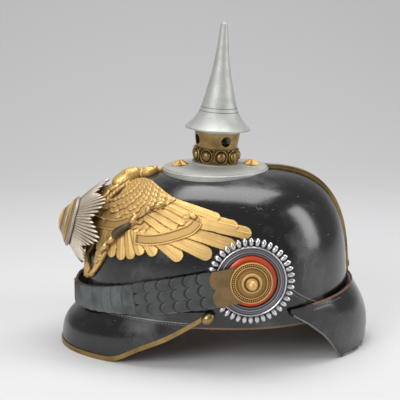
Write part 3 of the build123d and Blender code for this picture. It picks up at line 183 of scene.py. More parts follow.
def end_group(group, colour, roughness, height):
    out = group.nodes.new("NodeGroupOutput")
    for label, socket in (("Color", colour), ("Roughness", roughness), ("Height", height)):
        group.links.new(socket, out.inputs[label])
    return group


def open_socket(node, key):
    """An input by its number, or by its name among those in use."""
    if isinstance(key, int):
        return node.inputs[key]
    return next(s for s in node.inputs if s.name == key and s.enabled)


def wire(tree, kind, inputs, **settings):
    """Adds a node whose inputs are values or other nodes' outputs. Returns its own outputs."""
    node = tree.nodes.new("ShaderNode" + kind)
    for key, value in settings.items():
        setattr(node, key, value)
    for key, value in inputs.items():
        socket = open_socket(node, key)
        if isinstance(value, bpy.types.NodeSocket):
            tree.links.new(value, socket)
        else:
            socket.default_value = value
    return [s for s in node.outputs if s.enabled]


def noise(tree, place, scale, detail, roughness=0.55):
    values = {"Vector": place, "Scale": scale, "Detail": detail, "Roughness": roughness}
    return wire(tree, "TexNoise", values)[0]


def ramp(tree, value, low, high):
    """Maps a value's range from low to high onto 0 to 1, clamped."""
    return wire(tree, "MapRange", {"Value": value, "From Min": low, "From Max": high})[0]


def calc(tree, operation, *values):
    return wire(tree, "Math", dict(enumerate(values)), operation=operation)[0]


def stronger(tree, first, second, amount):
    """The stronger of two masks, both times an amount."""
    return calc(tree, "MAXIMUM", *[calc(tree, "MULTIPLY", mask, amount) for mask in (first, second)])


def mix_colour(tree, mask, first, second):
    return wire(tree, "Mix", {"Factor": mask, "A": first, "B": second}, data_type="RGBA")[0]


print("node groups so far", len(bpy.data.node_groups))


# %% Group for tarnished metal with painted shade
def tarnish_and_shade_group():
    group, given, place = node_group("tarnish and painted shade", {
        "Bright": (0.8, 0.6, 0.3, 1), "Dark": (0.3, 0.2, 0.08, 1), "Shade And Dark Parts": 0.0,
        "Patches": 0.4, "Base Roughness": 0.35})
    patches = ramp(group, noise(group, place, 60, 4), 0.42, 0.72)
    specks = ramp(group, noise(group, place, 420, 3), 0.58, 0.75)
    # Tarnish patches and specks darken the metal, and so does the mask of painted shade and darker parts.
    dark = calc(group, "MAXIMUM", stronger(group, patches, specks, given["Patches"]), given["Shade And Dark Parts"])
    rough = calc(group, "MULTIPLY_ADD", dark, 0.25, given["Base Roughness"])
    colour = mix_colour(group, dark, given["Bright"], given["Dark"])
    return end_group(group, colour, rough, noise(group, place, 900, 2))


TARNISH_AND_SHADE = tarnish_and_shade_group()
print("tarnish and painted shade nodes", len(TARNISH_AND_SHADE.nodes))


# %% Group for leather
def leather_group():
    group, given, place = node_group("leather grain", {
        "Hide": (0.02, 0.02, 0.02, 1), "Scuffed": (0.12, 0.12, 0.12, 1),
        "Scuffs": 0.3, "Base Roughness": 0.3})
    clouds = noise(group, place, 22, 5, 0.6)
    streaks = wire(group, "Mapping", {"Vector": place, "Scale": (1, 1, 5)})[0]
    lines = ramp(group, noise(group, streaks, 160, 3), 0.66, 0.74)
    worn = stronger(group, ramp(group, clouds, 0.5, 0.75), lines, given["Scuffs"])
    rough = calc(group, "MULTIPLY_ADD", worn, 0.6, given["Base Roughness"])
    grain = wire(group, "TexVoronoi", {"Vector": place, "Scale": 900})[0]
    height = calc(group, "MULTIPLY_ADD", clouds, 2.0, grain)
    return end_group(group, mix_colour(group, worn, given["Hide"], given["Scuffed"]), rough, height)


LEATHER = leather_group()
print("node groups", len(bpy.data.node_groups))

# %% Build a finish from a group
BUMP_SIZE, COAT_ROUGHNESS = 0.0002, 0.12


def finish(name, group, values, shade_and_dark_parts=False, metallic=0.0, coat=0.0, bump=0.1, specular=0.5):
    material, shader = new_material(name)
    tree = material.node_tree
    # The mask holds painted shade, in recesses and between parts, and the darker colour of some parts.
    if shade_and_dark_parts:
        mask = tree.nodes.new("ShaderNodeAttribute")
        mask.attribute_name = "shade_and_dark_parts"
        values["Shade And Dark Parts"] = mask.outputs["Fac"]
    colour, roughness, height = wire(tree, "Group", values, node_tree=group)
    relief = wire(tree, "Bump", {"Strength": bump, "Distance": BUMP_SIZE, "Height": height})[0]
    for label, socket in (("Base Color", colour), ("Roughness", roughness), ("Normal", relief)):
        tree.links.new(socket, shader.inputs[label])
    set_inputs(shader, {"Metallic": metallic, "Specular IOR Level": specular, "Coat Weight": coat,
                        "Coat Roughness": COAT_ROUGHNESS})
    return material


def metal(name, bright, dark, patches=0.4, roughness=0.35, bump=0.1, shade_and_dark_parts=False, metallic=1.0):
    values = {"Bright": (*bright, 1), "Dark": (*dark, 1), "Patches": patches, "Base Roughness": roughness}
    return finish(name, TARNISH_AND_SHADE, values, shade_and_dark_parts, metallic, bump=bump)


def leather(name, hide, scuffed, scuffs=0.3, roughness=0.3, coat=0.0, bump=0.15, specular=0.5):
    values = {"Hide": (*hide, 1), "Scuffed": (*scuffed, 1), "Scuffs": scuffs, "Base Roughness": roughness}
    return finish(name, LEATHER, values, coat=coat, bump=bump, specular=specular)


print("height of the bumps in mm", BUMP_SIZE / MM)


# %% Finishes
FINISH = {
    "black_leather": leather("black lacquered leather", (0.004, 0.004, 0.005), (0.16, 0.162, 0.158),
                             0.45, 0.18, 0.2, specular=0.65),
    "brass_trim": metal("aged brass", (0.37, 0.25, 0.1), (0.1, 0.065, 0.03), 0.75, 0.34, shade_and_dark_parts=True),
    "gilt": metal("gilt", (0.84, 0.56, 0.21), (0.16, 0.075, 0.02), 0.42, 0.46, 0.25, True, 0.75),
    "sceptre_bronze": metal("worn bronze", (0.7, 0.48, 0.2), (0.11, 0.085, 0.06), 0.35, 0.36, shade_and_dark_parts=True),
    "star_silver": metal("tarnished silver", (0.86, 0.76, 0.62), (0.1, 0.076, 0.058),
                         0.65, 0.42, 0.1, True, 0.85),
    "grey_metal": metal("dull grey metal", (0.52, 0.53, 0.5), (0.3, 0.31, 0.295), 0.5, 0.55, 0.15,
                        metallic=0.6),
    "cockade_silver": metal("bright silver", (0.7, 0.7, 0.73), (0.045, 0.034, 0.038), 0.2, 0.25, shade_and_dark_parts=True),
    "cockade_red": leather("red lacquer", (0.75, 0.09, 0.025), (0.4, 0.05, 0.02), 0.4, 0.35, 0.3, 0.1),
    "fittings_steel": metal("plain steel", (0.5, 0.5, 0.52), (0.2, 0.18, 0.16), 0.3, 0.35),
    "scale_brass": metal("tarnished brass", (0.28, 0.185, 0.088), (0.17, 0.105, 0.05), 0.8, 0.38, 0.15),
    "scale_grey": metal("oxidised scales", (0.145, 0.162, 0.16), (0.028, 0.028, 0.026),
                        0.6, 0.42, 0.2, True, 0.75),
    "scale_dark": metal("dark scales", (0.095, 0.104, 0.1), (0.03, 0.03, 0.028), 0.55, 0.42, 0.2, True, 0.75),
    "strap_leather": leather("strap leather", (0.05, 0.04, 0.035), (0.12, 0.1, 0.08), 0.3, 0.5),
    "liner_leather": leather("liner leather", (0.3, 0.17, 0.09), (0.42, 0.28, 0.17), 0.5, 0.6),
    "lace": leather("plaited cotton", (0.62, 0.57, 0.46), (0.5, 0.44, 0.34), 0.5, 0.9, bump=0.4),
    "thread": leather("waxed thread", (0.2, 0.19, 0.17), (0.3, 0.28, 0.25), 0.5, 0.5),
    "worn_edge": leather("worn leather edge", (0.16, 0.065, 0.035), (0.32, 0.17, 0.1), 0.8, 0.45),
    "edge_bead": leather("polished leather edge", (0.075, 0.073, 0.07), (0.3, 0.29, 0.28), 0.9, 0.2, 0.7),
    # The incised lines are dark grey: painted shade standing in for their grooves.
    "incised": metal("incised line", (0.1, 0.105, 0.1), (0.05, 0.05, 0.05), 0.2, 0.6, metallic=0.5),
}

# Every CAD node gets the finish of its material slot, but the star studs have kept their gilt.
for row in frame["record"]["subparts"]:
    materials = frame["nodes"][row["node"]].data.materials
    materials.clear()
    materials.append(FINISH["gilt" if row["node"] == "base_star_studs" else row["material_slot"]])
print("finishes", len(FINISH))

# %% [markdown]
# The gilt eagle was stamped from sheet brass, so it is a thin skin with shallow relief that follows the
# skull. A relief like that is easiest to build as a height map: rays find the skull under a fine grid, each
# feather is painted into the grid as a long rounded stroke, and the grid points are then lifted off the
# skull by that much. Painting from the lowest feather to the highest makes them overlap as roof tiles do.

# %% The skull as a target for rays
# Places on the wing were read off an enlarged view of the picture, which starts at this corner.
WING_VIEW_X, WING_VIEW_Y, WING_ZOOM = 58, 155, 6
INWARD = (6, 3)  # one step of the view towards the skull's middle


def ray_target(node):
    mesh = frame["nodes"][node].data
    return BVHTree.FromPolygons([v.co for v in mesh.vertices], [tuple(p.vertices) for p in mesh.polygons])


SKULL = ray_target("skull")


def seen_on(target, places):
    """Points and normals of a surface behind points of the picture."""
    hits = [target.ray_cast(CAMERA_SPOT, picture_ray(px, py))[:2] for px, py in places]
    return [hit for hit in hits if hit[0] is not None]


def skull_hit(u, v):
    return seen_on(SKULL, [(WING_VIEW_X + u / WING_ZOOM, WING_VIEW_Y + v / WING_ZOOM)])


def wing_spot(u, v):
    """Where a point of the wing view lands on the skull. Past the skull's edge it moves inward."""
    while not (hits := skull_hit(u, v)):
        u, v = u + INWARD[0], v + INWARD[1]
    return hits[0][0]


print("a wing point", wing_spot(560, 400))

# %% Relief grid
GRID_PITCH, SMOOTHING = 0.4, 3
START_AWAY = 0.4  # metres from the middle to where the rays start


def blurred(values, reach):
    for axis in (0, 1, 0, 1):
        values = sum(np.roll(values, shift, axis) for shift in range(-reach, reach + 1)) / (2 * reach + 1)
    return values


def blank(grid):
    """The same grid with nothing painted in it."""
    shape = grid["across"].shape
    return {**grid, "height": np.zeros(shape), "painted_shade": np.zeros(shape), "inside": np.zeros(shape, bool)}


def relief_grid(towards, up, low, high):
    """Points of the skull under a grid that faces one way, with their normals. Lengths are in millimetres."""
    towards = Vector(towards).normalized()
    side = Vector(up).cross(towards).normalized()
    top = towards.cross(side)
    across, along = np.meshgrid(*[np.arange(low[k], high[k], GRID_PITCH) for k in (0, 1)])
    points = np.full((*across.shape, 3), np.nan)
    for index in np.ndindex(across.shape):
        start = (side * across[index] + top * along[index]) * MM + towards * START_AWAY
        hit = SKULL.ray_cast(start, -towards)[0]
        if hit is not None:
            points[index] = hit
    known = ~np.isnan(points[..., 0])
    weight = np.maximum(blurred(known.astype(float), SMOOTHING), 1e-9)
    smooth = np.stack([blurred(np.where(known, points[..., k], 0), SMOOTHING) / weight for k in range(3)], -1)
    normal = np.cross(np.gradient(smooth, axis=1), np.gradient(smooth, axis=0))
    normal /= np.maximum(np.linalg.norm(normal, axis=-1, keepdims=True), 1e-12)
    return blank({"side": side, "top": top, "across": across, "along": along, "points": smooth,
                  "normal": normal, "known": known})


def spot(grid, point):
    return np.array([point.dot(grid["side"]), point.dot(grid["top"])]) / MM


print("grid pitch in mm", GRID_PITCH)


# %% Strokes painted into a grid
SHAFT_HALF, VANE_PITCH, VANE_SLANT = 0.5, 2.1, 1.3


def lay(grid, inside, height, painted_shade=0.0):
    """Sets the height, and the painted shade, of every grid point inside a stroke."""
    inside = inside & grid["known"]
    grid["height"] = np.where(inside, height, grid["height"])
    grid["painted_shade"] = np.where(inside, painted_shade, grid["painted_shade"])
    grid["inside"] |= inside


def paint_area(grid, corners, height):
    """Fills a closed outline with one height."""
    inside = np.zeros(grid["across"].shape, bool)
    for (x0, y0), (x1, y1) in zip(corners, corners[1:] + corners[:1]):
        if y0 != y1:
            crossing = (grid["along"] > min(y0, y1)) & (grid["along"] <= max(y0, y1))
            inside ^= crossing & (grid["across"] < x0 + (grid["along"] - y0) * (x1 - x0) / (y1 - y0))
    lay(grid, inside, height)


def paint_feather(grid, root, tip, half, low, high, lean=0.0, crown=0.35, vane=0.11, shaft=0.3):
    """A feather from root to tip: low at the root, high at the tip, its free edge proud by lean."""
    run = tip - root
    length = np.hypot(*run)
    run = run / length
    dx, dy = grid["across"] - root[0], grid["along"] - root[1]
    t = dx * run[0] + dy * run[1]
    s = dy * run[0] - dx * run[1]
    past = np.clip((t - length + half) / half, 0, 1)
    width = half * (0.75 + 0.25 * np.clip(t / length, 0, 1)) * np.sqrt(1 - past**2) + 1e-6
    share = s / half
    height = low + (high - low) * t / length - lean * share + crown * (1 - share**2)
    height += shaft * np.exp(-((s / SHAFT_HALF) ** 2))
    height += vane * np.sin(2 * math.pi * (t - VANE_SLANT * abs(s)) / VANE_PITCH)
    # Painted shade along the feather's edges, where it meets the feathers beside it.
    lay(grid, (t > 0) & (t < length) & (abs(s) < width), height, 0.25 * abs(share) ** 3)


def smooth_path(points, steps):
    """Catmull-Rom curve through points of any dimension."""
    points = [2 * points[0] - points[1], *points, 2 * points[-1] - points[-2]]
    made = []
    for a, b, c, d in zip(points, points[1:], points[2:], points[3:]):
        for t in (k / steps for k in range(steps)):
            bend = (2 * a - 5 * b + 4 * c - d) * t**2 + (3 * b - a - 3 * c + d) * t**3
            made.append(0.5 * (2 * b + (c - a) * t + bend))
    return [*made, points[-2]]


def distance_to_path(grid, path):
    """Distance from each grid point to a path, and how far along the path it lies, from 0 to 1."""
    best = np.full(grid["across"].shape, 1e9)
    share = np.zeros_like(best)
    for k, (a, b) in enumerate(zip(path, path[1:])):
        run = b - a
        size = max(np.hypot(*run), 1e-6)
        dx, dy = grid["across"] - a[0], grid["along"] - a[1]
        t = np.clip((dx * run[0] + dy * run[1]) / size**2, 0, 1)
        away = np.hypot(dx - t * run[0], dy - t * run[1])
        nearer = away < best
        best = np.where(nearer, away, best)
        share = np.where(nearer, (k + t) / (len(path) - 1), share)
    return best, share


def paint_band(grid, at, places, half, height):
    """A flat band with raised borders through some places, its field darker than its borders by painted
    shade.
    """
    away, share = distance_to_path(grid, smooth_path([at(*place) for place in places], 6))
    edge = np.clip((away / half - 0.66) / 0.1, 0, 1)
    lay(grid, (away < half) & (share > 0) & (share < 1), height + edge, 0.45 * (1 - edge))


def paint_limb(grid, at, places, halves, base, rise=0.9, steps=6):
    """A rounded limb through some places, with a half width at even steps along it."""
    away, share = distance_to_path(grid, smooth_path([at(*place) for place in places], steps))
    half = np.interp(share, np.linspace(0, 1, len(halves)), halves)
    lay(grid, away < half, base + rise * np.sqrt(np.maximum(half**2 - away**2, 0)))


print("points on a smooth path through two places", len(smooth_path([np.zeros(2), np.ones(2)], 6)))


# %% From grid to mesh
# How dark the painted shade gets in the hollows between strokes and on the relief's walls.
HOLLOW_DEPTH, HOLLOW_SHADE, WALL_SHADE = 0.28, 0.95, 0.9


def add_mesh(name, made, finish_name, body="helmet"):
    """Adds a piece from points, faces and, where it has one, a mask of painted shade and darker parts."""
    points, faces, *masks = made
    mesh = bpy.data.meshes.new(name)
    mesh.from_pydata([tuple(p) for p in points], [], [tuple(int(i) for i in f) for f in faces])
    mesh.polygons.foreach_set("use_smooth", [True] * len(mesh.polygons))
    for mask in masks:
        shade_and_dark_parts = mesh.attributes.new("shade_and_dark_parts", "FLOAT", "POINT")
        shade_and_dark_parts.data.foreach_set("value", np.asarray(mask, np.float32))
    piece = add_object(name, mesh)
    mesh.materials.append(FINISH[finish_name])
    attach(piece, body)
    return piece


def relief_mesh(grid, foot=0.1):
    """Points, faces and painted-shade mask of the painted part of a grid, with walls down to the skull."""
    inside, height = grid["inside"], grid["height"]
    number = np.full(inside.shape, -1)
    number[inside] = np.arange(inside.sum())
    points = (grid["points"] + grid["normal"] * (height * MM)[..., None])[inside]
    # Painted shade: darker where a point lies lower than its neighbours, and on the walls down to the skull.
    hollow = blurred(np.where(inside, height, 0), 2) - height
    shade_and_dark_parts = np.maximum(np.clip(hollow[inside] / HOLLOW_DEPTH, 0, 1) * HOLLOW_SHADE, grid["painted_shade"][inside])
    first, second = slice(None, -1), slice(1, None)
    corners = [(first, first), (first, second), (second, second), (second, first)]
    cell = np.logical_and.reduce([inside[corner] for corner in corners])
    quads = np.stack([number[corner][cell] for corner in corners], -1)
    edges = np.concatenate([quads[:, [k, (k + 1) % 4]] for k in range(4)])
    codes, backward = edges @ (len(points), 1), edges @ (1, len(points))
    outline = edges[~np.isin(codes, backward)]
    used = np.unique(outline)
    low = {int(i): len(points) + k for k, i in enumerate(used)}
    seat = (grid["points"] + grid["normal"] * (foot * MM))[inside][used]
    walls = [(int(b), int(a), low[int(a)], low[int(b)]) for a, b in outline]
    mask = np.concatenate([shade_and_dark_parts, np.full(len(used), WALL_SHADE)])
    return np.concatenate([points, seat]), [*map(tuple, quads), *walls], mask


def mirrored(made):
    """The same shape on the helmet's other side."""
    return [Vector((x, -y, z)) for x, y, z in made[0]], [tuple(reversed(f)) for f in made[1]], *made[2:]


def add_gilt_pair(name, made):
    """Adds a gilt piece and its mirror image. Returns the near one."""
    near = add_mesh(f"{name}_left", made, "gilt")
    add_mesh(f"{name}_right", mirrored(made), "gilt")
    return near


print("a point and its mirror image", (1, 2, 3), tuple(mirrored(([(1, 2, 3)], []))[0][0]))


# %% [markdown]
# The wing has twelve long feathers that fan out from the shoulder. Their places were read off the picture
# and are sent through the camera onto the skull, so that the relief lines up with the picture and still
# lies on the helmet. The short feathers of the shoulder are rows along arcs, which is how an engraver lays
# them out.

# %% Wings
WING_OUTLINE = (
    (232, 345), (290, 292), (350, 268), (388, 240), (405, 212), (432, 175), (472, 152), (522, 147),
    (572, 165), (612, 200), (652, 235), (702, 270), (752, 305), (802, 335), (852, 355), (912, 365),
    (700, 420), (620, 500), (560, 560), (440, 560), (330, 560), (240, 530), (215, 430),
)
WING_REACH = ((1165, 480), (740, 635), (330, 640))
LONG_FEATHERS = (
    ((640, 268), (972, 385), 27), ((640, 335), (1078, 435), 34), ((620, 370), (1160, 478), 37),
    ((600, 410), (1068, 552), 40), ((560, 440), (926, 608), 42), ((540, 455), (748, 624), 42),
    ((500, 455), (590, 602), 38), ((465, 450), (505, 602), 34), ((430, 450), (445, 626), 32),
    ((395, 440), (385, 630), 32), ((350, 430), (328, 614), 31), ((300, 420), (252, 578), 32),
)
MIDDLE_FEATHERS = (
    ((470, 330), (660, 470), 24), ((520, 320), (720, 440), 25), ((560, 300), (770, 412), 26),
    ((600, 280), (800, 372), 26),
)
UNIT = 0.146  # millimetres on the wing for one unit of the wing view
SHOULDER_X, SHOULDER_Y = 520, 5
COVERT_REACH, COVERT_STEP, COVERT_LENGTH, COVERT_TURN = 352, 23, 56, math.radians(6.4)


def paint_wing():
    facing_out, up = Vector((-0.45, -0.75, 0.42)).normalized(), Vector((0.2, 0.3, 1))
    side = up.cross(facing_out).normalized()
    places = [wing_spot(u, v) / MM for u, v in (*WING_OUTLINE, *WING_REACH)]
    across, along = [p.dot(side) for p in places], [p.dot(facing_out.cross(side)) for p in places]
    grid = relief_grid(facing_out, up, (min(across) - 6, min(along) - 6), (max(across) + 9, max(along) + 9))
    at = lambda u, v: spot(grid, wing_spot(u, v))
    paint_area(grid, [tuple(at(*p)) for p in WING_OUTLINE], 1.3)
    for k, (root, tip, half) in reversed(list(enumerate(LONG_FEATHERS))):
        paint_feather(grid, at(*root), at(*tip), half * UNIT, 1.9, 1.7 + 0.04 * (11 - k), 0.5)
    for root, tip, half in MIDDLE_FEATHERS:
        paint_feather(grid, at(*root), at(*tip), half * UNIT, 2.0, 2.5, 0.4)
    paint_coverts(grid, at)
    return grid


def paint_coverts(grid, at):
    """Rows of short feathers round the shoulder, the lowest first, each row half a step beside the next."""
    skin, grid["known"] = grid["known"], grid["inside"].copy()
    for row in range(-3, 10):
        radius = COVERT_REACH - COVERT_STEP * row
        half = 0.6 * COVERT_TURN * radius * UNIT
        high = 3.1 - 0.15 * max(row, 0)
        for k in range(-8, 9 if row >= 0 else 0):
            angle = COVERT_TURN * (k + 0.5 * (row % 2))
            reach = (radius + 7 * math.sin(3.1 * k + 1.7 * row)) * (1 - 0.1 * abs(math.sin(angle)))
            root, tip = [at(SHOULDER_X + r * math.sin(angle), SHOULDER_Y + r * math.cos(angle))
                         for r in (reach - COVERT_LENGTH, reach)]
            paint_feather(grid, root, tip, half, 1.5, high, crown=0.45, vane=0.05, shaft=0.1)
    grid["known"] = skin


wing_grid = paint_wing()
wing = relief_mesh(wing_grid)
near_wing = add_gilt_pair("wing", wing)
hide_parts("eagle_plate")
print("wing points", len(wing[0]))

# %% [markdown]
# A ribbon winds over each wing, with a rolled end here and there. It gets a grid of its own, a copy of the
# wing's, so that it can stand on the feathers as a separate strip of metal. The field between its borders
# has painted shade, so it is a little darker.

# %% Ribbons on the wings
RIBBONS = (
    (((835, 425), (838, 396), (815, 378), (783, 381), (748, 396)), 3.1, 2.6),
    (((216, 388), (250, 405), (300, 418), (345, 424), (390, 418), (440, 402), (480, 385)), 4.5, 3.1),
    (((477, 503), (542, 511), (602, 508), (650, 500), (700, 487), (745, 472), (790, 455), (825, 428),
      (837, 405)), 4.6, 3.3),
)
ROLLS = (((800, 366), (822, 380)), ((478, 480), (474, 530)), ((470, 362), (486, 408)))


def paint_ribbons():
    grid = blank(wing_grid)
    at = lambda u, v: spot(grid, wing_spot(u, v))
    for places, half, height in RIBBONS:
        paint_band(grid, at, places, half, height)
    for ends in ROLLS:
        paint_limb(grid, at, ends, [1.5, 1.8, 1.5], 3.2, 1.0, 4)
    return grid


ribbon = relief_mesh(paint_ribbons(), foot=1.2)
near_ribbon = add_gilt_pair("ribbon", ribbon)
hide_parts("scrolls")
print("ribbon points", len(ribbon[0]))

# %% [markdown]
# The sceptre in the near claw is a turned rod: a pair of balls, a dark bell-shaped grip and a slim shaft
# with a bud at its end. A lathe shape with its own radius at each point of a bent line gives all of that in
# one sweep.

# %% Turned pieces along a line
def tube_faces(rings, sides, start=False, end=True):
    """Faces round a stack of closed rings of points, with a cap at either end where asked."""
    faces = [(k * sides + step, k * sides + after, (k + 1) * sides + after, (k + 1) * sides + step)
             for k in range(rings - 1) for step in range(sides) for after in [(step + 1) % sides]]
    caps = [tuple(reversed(range(sides)))] * start + [tuple(range((rings - 1) * sides, rings * sides))] * end
    return faces + caps


def turns(count):
    return [2 * math.pi * k / count for k in range(count)]


def sweep(centres, radii, sides=16):
    """Points and faces of a round bar through the centres, closed at both ends."""
    points, normal = [], None
    for k, centre in enumerate(centres):
        run = (centres[min(k + 1, len(centres) - 1)] - centres[max(k - 1, 0)]).normalized()
        normal = normal or run.orthogonal()
        normal = (normal - run * normal.dot(run)).normalized()
        other = run.cross(normal)
        ways = [normal * math.cos(angle) + other * math.sin(angle) for angle in turns(sides)]
        points += [centre + way * radii[k] for way in ways]
    return points, tube_faces(len(centres), sides, start=True)


# The last column is how dark each point is: painted shade in the narrow necks between turned parts, and the
# grip's own dark colour along the bell.
SCEPTRE = (  # along the wing view: place, radius and how dark it is
    (284, 590, 9, 0.4), (294, 574, 12, 0.3), (302, 562, 21, 0.0), (312, 551, 24, 0.0), (322, 540, 21, 0.1),
    (330, 532, 12, 0.9), (338, 522, 20, 0.1), (347, 512, 23, 0.0), (356, 503, 20, 0.1), (363, 495, 11, 1.0),
    (368, 487, 20, 0.8), (376, 478, 26, 0.9), (392, 465, 25, 1.0), (415, 447, 20, 1.0), (440, 428, 14, 0.9),
    (456, 414, 10, 1.0), (463, 408, 17, 0.2), (474, 400, 20, 0.0), (485, 392, 17, 0.2), (492, 387, 9, 0.8),
    (520, 370, 8, 0.3), (545, 352, 8, 0.6), (551, 348, 14, 0.1), (560, 342, 15, 0.0), (568, 337, 9, 0.8),
    (590, 328, 8, 0.5), (598, 324, 14, 0.2), (618, 317, 18, 0.0), (640, 311, 13, 0.2), (654, 307, 5, 0.5),
)
# The sword's last column is likewise how dark each point is, mostly painted shade in the necks between its
# turned parts.
SWORD = (
    (330, 530, 12, 0.5), (338, 522, 19, 0.1), (347, 513, 19, 0.1), (356, 503, 10, 0.9), (375, 484, 12, 0.5),
    (395, 465, 13, 0.3), (410, 450, 11, 0.8), (414, 447, 24, 0.1), (422, 441, 24, 0.1), (427, 437, 12, 0.8),
    (440, 428, 13, 0.0), (520, 370, 12, 0.0), (600, 323, 9, 0.0), (640, 311, 4, 0.0),
)
ROD_LIFT, ROD_SIDES, THINNEST = 3.3, 20, 0.4 * MM


def rod(places):
    """Points, faces and mask of a turned rod that lies over the wing: painted shade, and the grip's dark
    colour.
    """
    rows = []
    for u, v, radius, dark in places:
        [(hit, normal)] = skull_hit(u, v)
        rise = ROD_LIFT + 0.8 * radius * UNIT
        rows.append(np.array([*(hit + normal * rise * MM), radius * UNIT * MM, dark]))
    rows = smooth_path(rows, 4)
    shape = sweep([Vector(row[:3]) for row in rows], [max(row[3], THINNEST) for row in rows], ROD_SIDES)
    return *shape, [min(1, max(0, row[4])) for row in rows for _ in range(ROD_SIDES)]


sceptre = add_mesh("sceptre_turned", rod(SCEPTRE), "sceptre_bronze")
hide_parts("sceptre")
sword = add_mesh("sword_turned", mirrored(rod(SWORD)), "gilt")
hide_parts("sword")
print("rod points", len(sceptre.data.vertices), len(sword.data.vertices))

# %% [markdown]
# Below the star the eagle's legs and tail show. They belong to the same stamped sheet, so they are painted
# into a second height map that faces the front, where the skull falls away from the side view.

# %% Legs and tail
TAIL = (
    ((0, 92), (0, 57), 3.4), ((-3, 90), (-7, 58), 3.2), ((3, 90), (7, 58), 3.2), ((-6, 88), (-14, 61), 3.0),
    ((6, 88), (14, 61), 3.0), ((-8, 86), (-20, 66), 2.8), ((8, 86), (20, 66), 2.8),
)
CLAW_LOOP = ((160, 560), (135, 600), (125, 650), (150, 700), (190, 722))
LEG = ((280, 570), (262, 610), (248, 650), (228, 690), (205, 716))
LEG_FEATHERS = ((254, 626), (266, 612), (258, 604), (272, 592), (262, 584), (280, 574))
TOES = ((191, 724), (205, 728), (221, 720))
FAR_OFF = 300  # millimetres from the middle to where the rays start


def front_spot(y, z):
    """A point on the front of the skull, from its place in front view, in millimetres."""
    return SKULL.ray_cast(Vector((-FAR_OFF, y, z)) * MM, Vector((1, 0, 0)))[0]


def paint_leg(grid, side):
    def at(u, v):
        place = wing_spot(u, v)
        return spot(grid, Vector((place.x, -side * place.y, place.z)))

    paint_limb(grid, at, CLAW_LOOP, [2.6, 3.4, 3.6, 3.0, 2.0], 1.2, 0.5)
    paint_limb(grid, at, LEG, [4.6, 4.4, 3.0, 2.2, 2.4], 1.4, 0.75)
    for u, v in LEG_FEATHERS:
        root, tip = at(u + 5, v - 20), at(u - 3, v + 18)
        paint_feather(grid, root, tip, 2.1, 3.4, 5.2, crown=0.6, vane=0.05, shaft=0.1)
    for toe in TOES:
        paint_limb(grid, at, ((205, 712), toe), [1.4, 0.7], 1.6, steps=4)


def paint_body():
    grid = relief_grid((-0.95, 0, 0.3), (0.3, 0, 0.95), (-62, 20), (62, 110))
    at = lambda y, z: spot(grid, front_spot(y, z))
    paint_area(grid, [tuple(at(25 * math.cos(a), 104 + 27 * math.sin(a))) for a in turns(24)], 1.6)
    for side in (-1, 1):
        paint_leg(grid, side)
    for root, tip, half in TAIL:
        paint_feather(grid, at(*root), at(*tip), half, 1.8, 2.4, crown=0.7)
    return grid


eagle_body = add_mesh("eagle_body", relief_mesh(paint_body()), "gilt")
print("body points", len(eagle_body.data.vertices))

# %% [markdown]
# The neck rises between the wings and lies back along the skull, with the head in profile and the crown
# above it. It stands much higher off the skull than the wings, with a row of pointed feathers along its
# edge, which gives the sawtooth line that shows from the side.

# %% Neck, head and crown
def top_spot(x, y):
    """A point on the skull straight below a place in top view, in millimetres."""
    return SKULL.ray_cast(Vector((x, y, FAR_OFF)) * MM, Vector((0, 0, -1)))[0]


def paint_neck(grid, at):
    for side in (-1, 1):
        for k in range(11):
            x = -101 + 2.6 * k
            root, tip = at(x + 5, side * 5), at(x - 1.5, side * (10.6 - 0.12 * k))
            paint_feather(grid, root, tip, 1.7, 4.6, 2.6, crown=0.5, vane=0)
    neck = ((-104, 0), (-96, 0), (-88, 0), (-80, 0), (-73, 0.5))
    paint_limb(grid, at, neck, [7.0, 7.2, 7.2, 7.8, 7.6], 4.6, 0.46)
    for row in range(7):
        for k in range(-2, 3):
            x, y = -79 - 3.3 * row, 3.1 * (k + 0.5 * (row % 2))
            rise = 7.8 - 0.035 * y * y
            root, tip = at(x + 3.5, y), at(x - 1.5, y)
            paint_feather(grid, root, tip, 1.7, rise - 0.7, rise + 0.3, crown=0.3, vane=0.04)


def paint_face(grid, at):
    paint_limb(grid, at, ((-73, 5), (-71.5, 11), (-73.5, 15.5), (-79, 17.2)), [4.6, 3.4, 2.2, 0.7], 4.4)
    paint_limb(grid, at, ((-79, 0), (-72, 1), (-67, 1.5)), [7.4, 8.4, 6.4], 5.4, 0.8)
    for side in (-1, 1):
        brow = (-75.0, side * 4.6), (-72.0, side * 6.0), (-68.6, side * 5.4)
        paint_limb(grid, at, brow, [0.5, 0.9, 0.5], 9.6, steps=4)
        paint_limb(grid, at, ((-72.0, side * 4.4), (-71.9, side * 4.5)), [1.3, 1.3], 10.4, 0.7, 3)


def paint_crown(grid, at):
    for side in (-1, 0, 1):
        arch = (-62, 3.5 * side), (-57, 6.8 * side), (-52.5, 4.5 * side), (-50.5, 0)
        paint_limb(grid, at, arch, [1.6, 2.4, 2.0, 1.3], 4.2)
    paint_limb(grid, at, ((-62, -5.5), (-61, 5.5)), [2.2, 2.2], 4.8)
    for y in (-4.5, -1.5, 1.5, 4.5):
        paint_limb(grid, at, ((-61.6, y), (-61.4, y + 0.3)), [1.1, 1.1], 6.4, steps=3)
    paint_limb(grid, at, ((-50.5, 0), (-50, 0)), [2.1, 2.1], 4.6, steps=3)
    paint_limb(grid, at, ((-49, 0), (-45.5, 0)), [0.9, 1.1], 3.4, steps=3)


head_grid = relief_grid((-0.55, 0, 0.83), (0.83, 0, 0.55), (-24, -34), (24, 54))
for paint in (paint_neck, paint_face, paint_crown):
    paint(head_grid, lambda x, y: spot(head_grid, top_spot(x, y)))
eagle_head = add_mesh("eagle_head", relief_mesh(head_grid), "gilt")
print("head points", len(eagle_head.data.vertices))

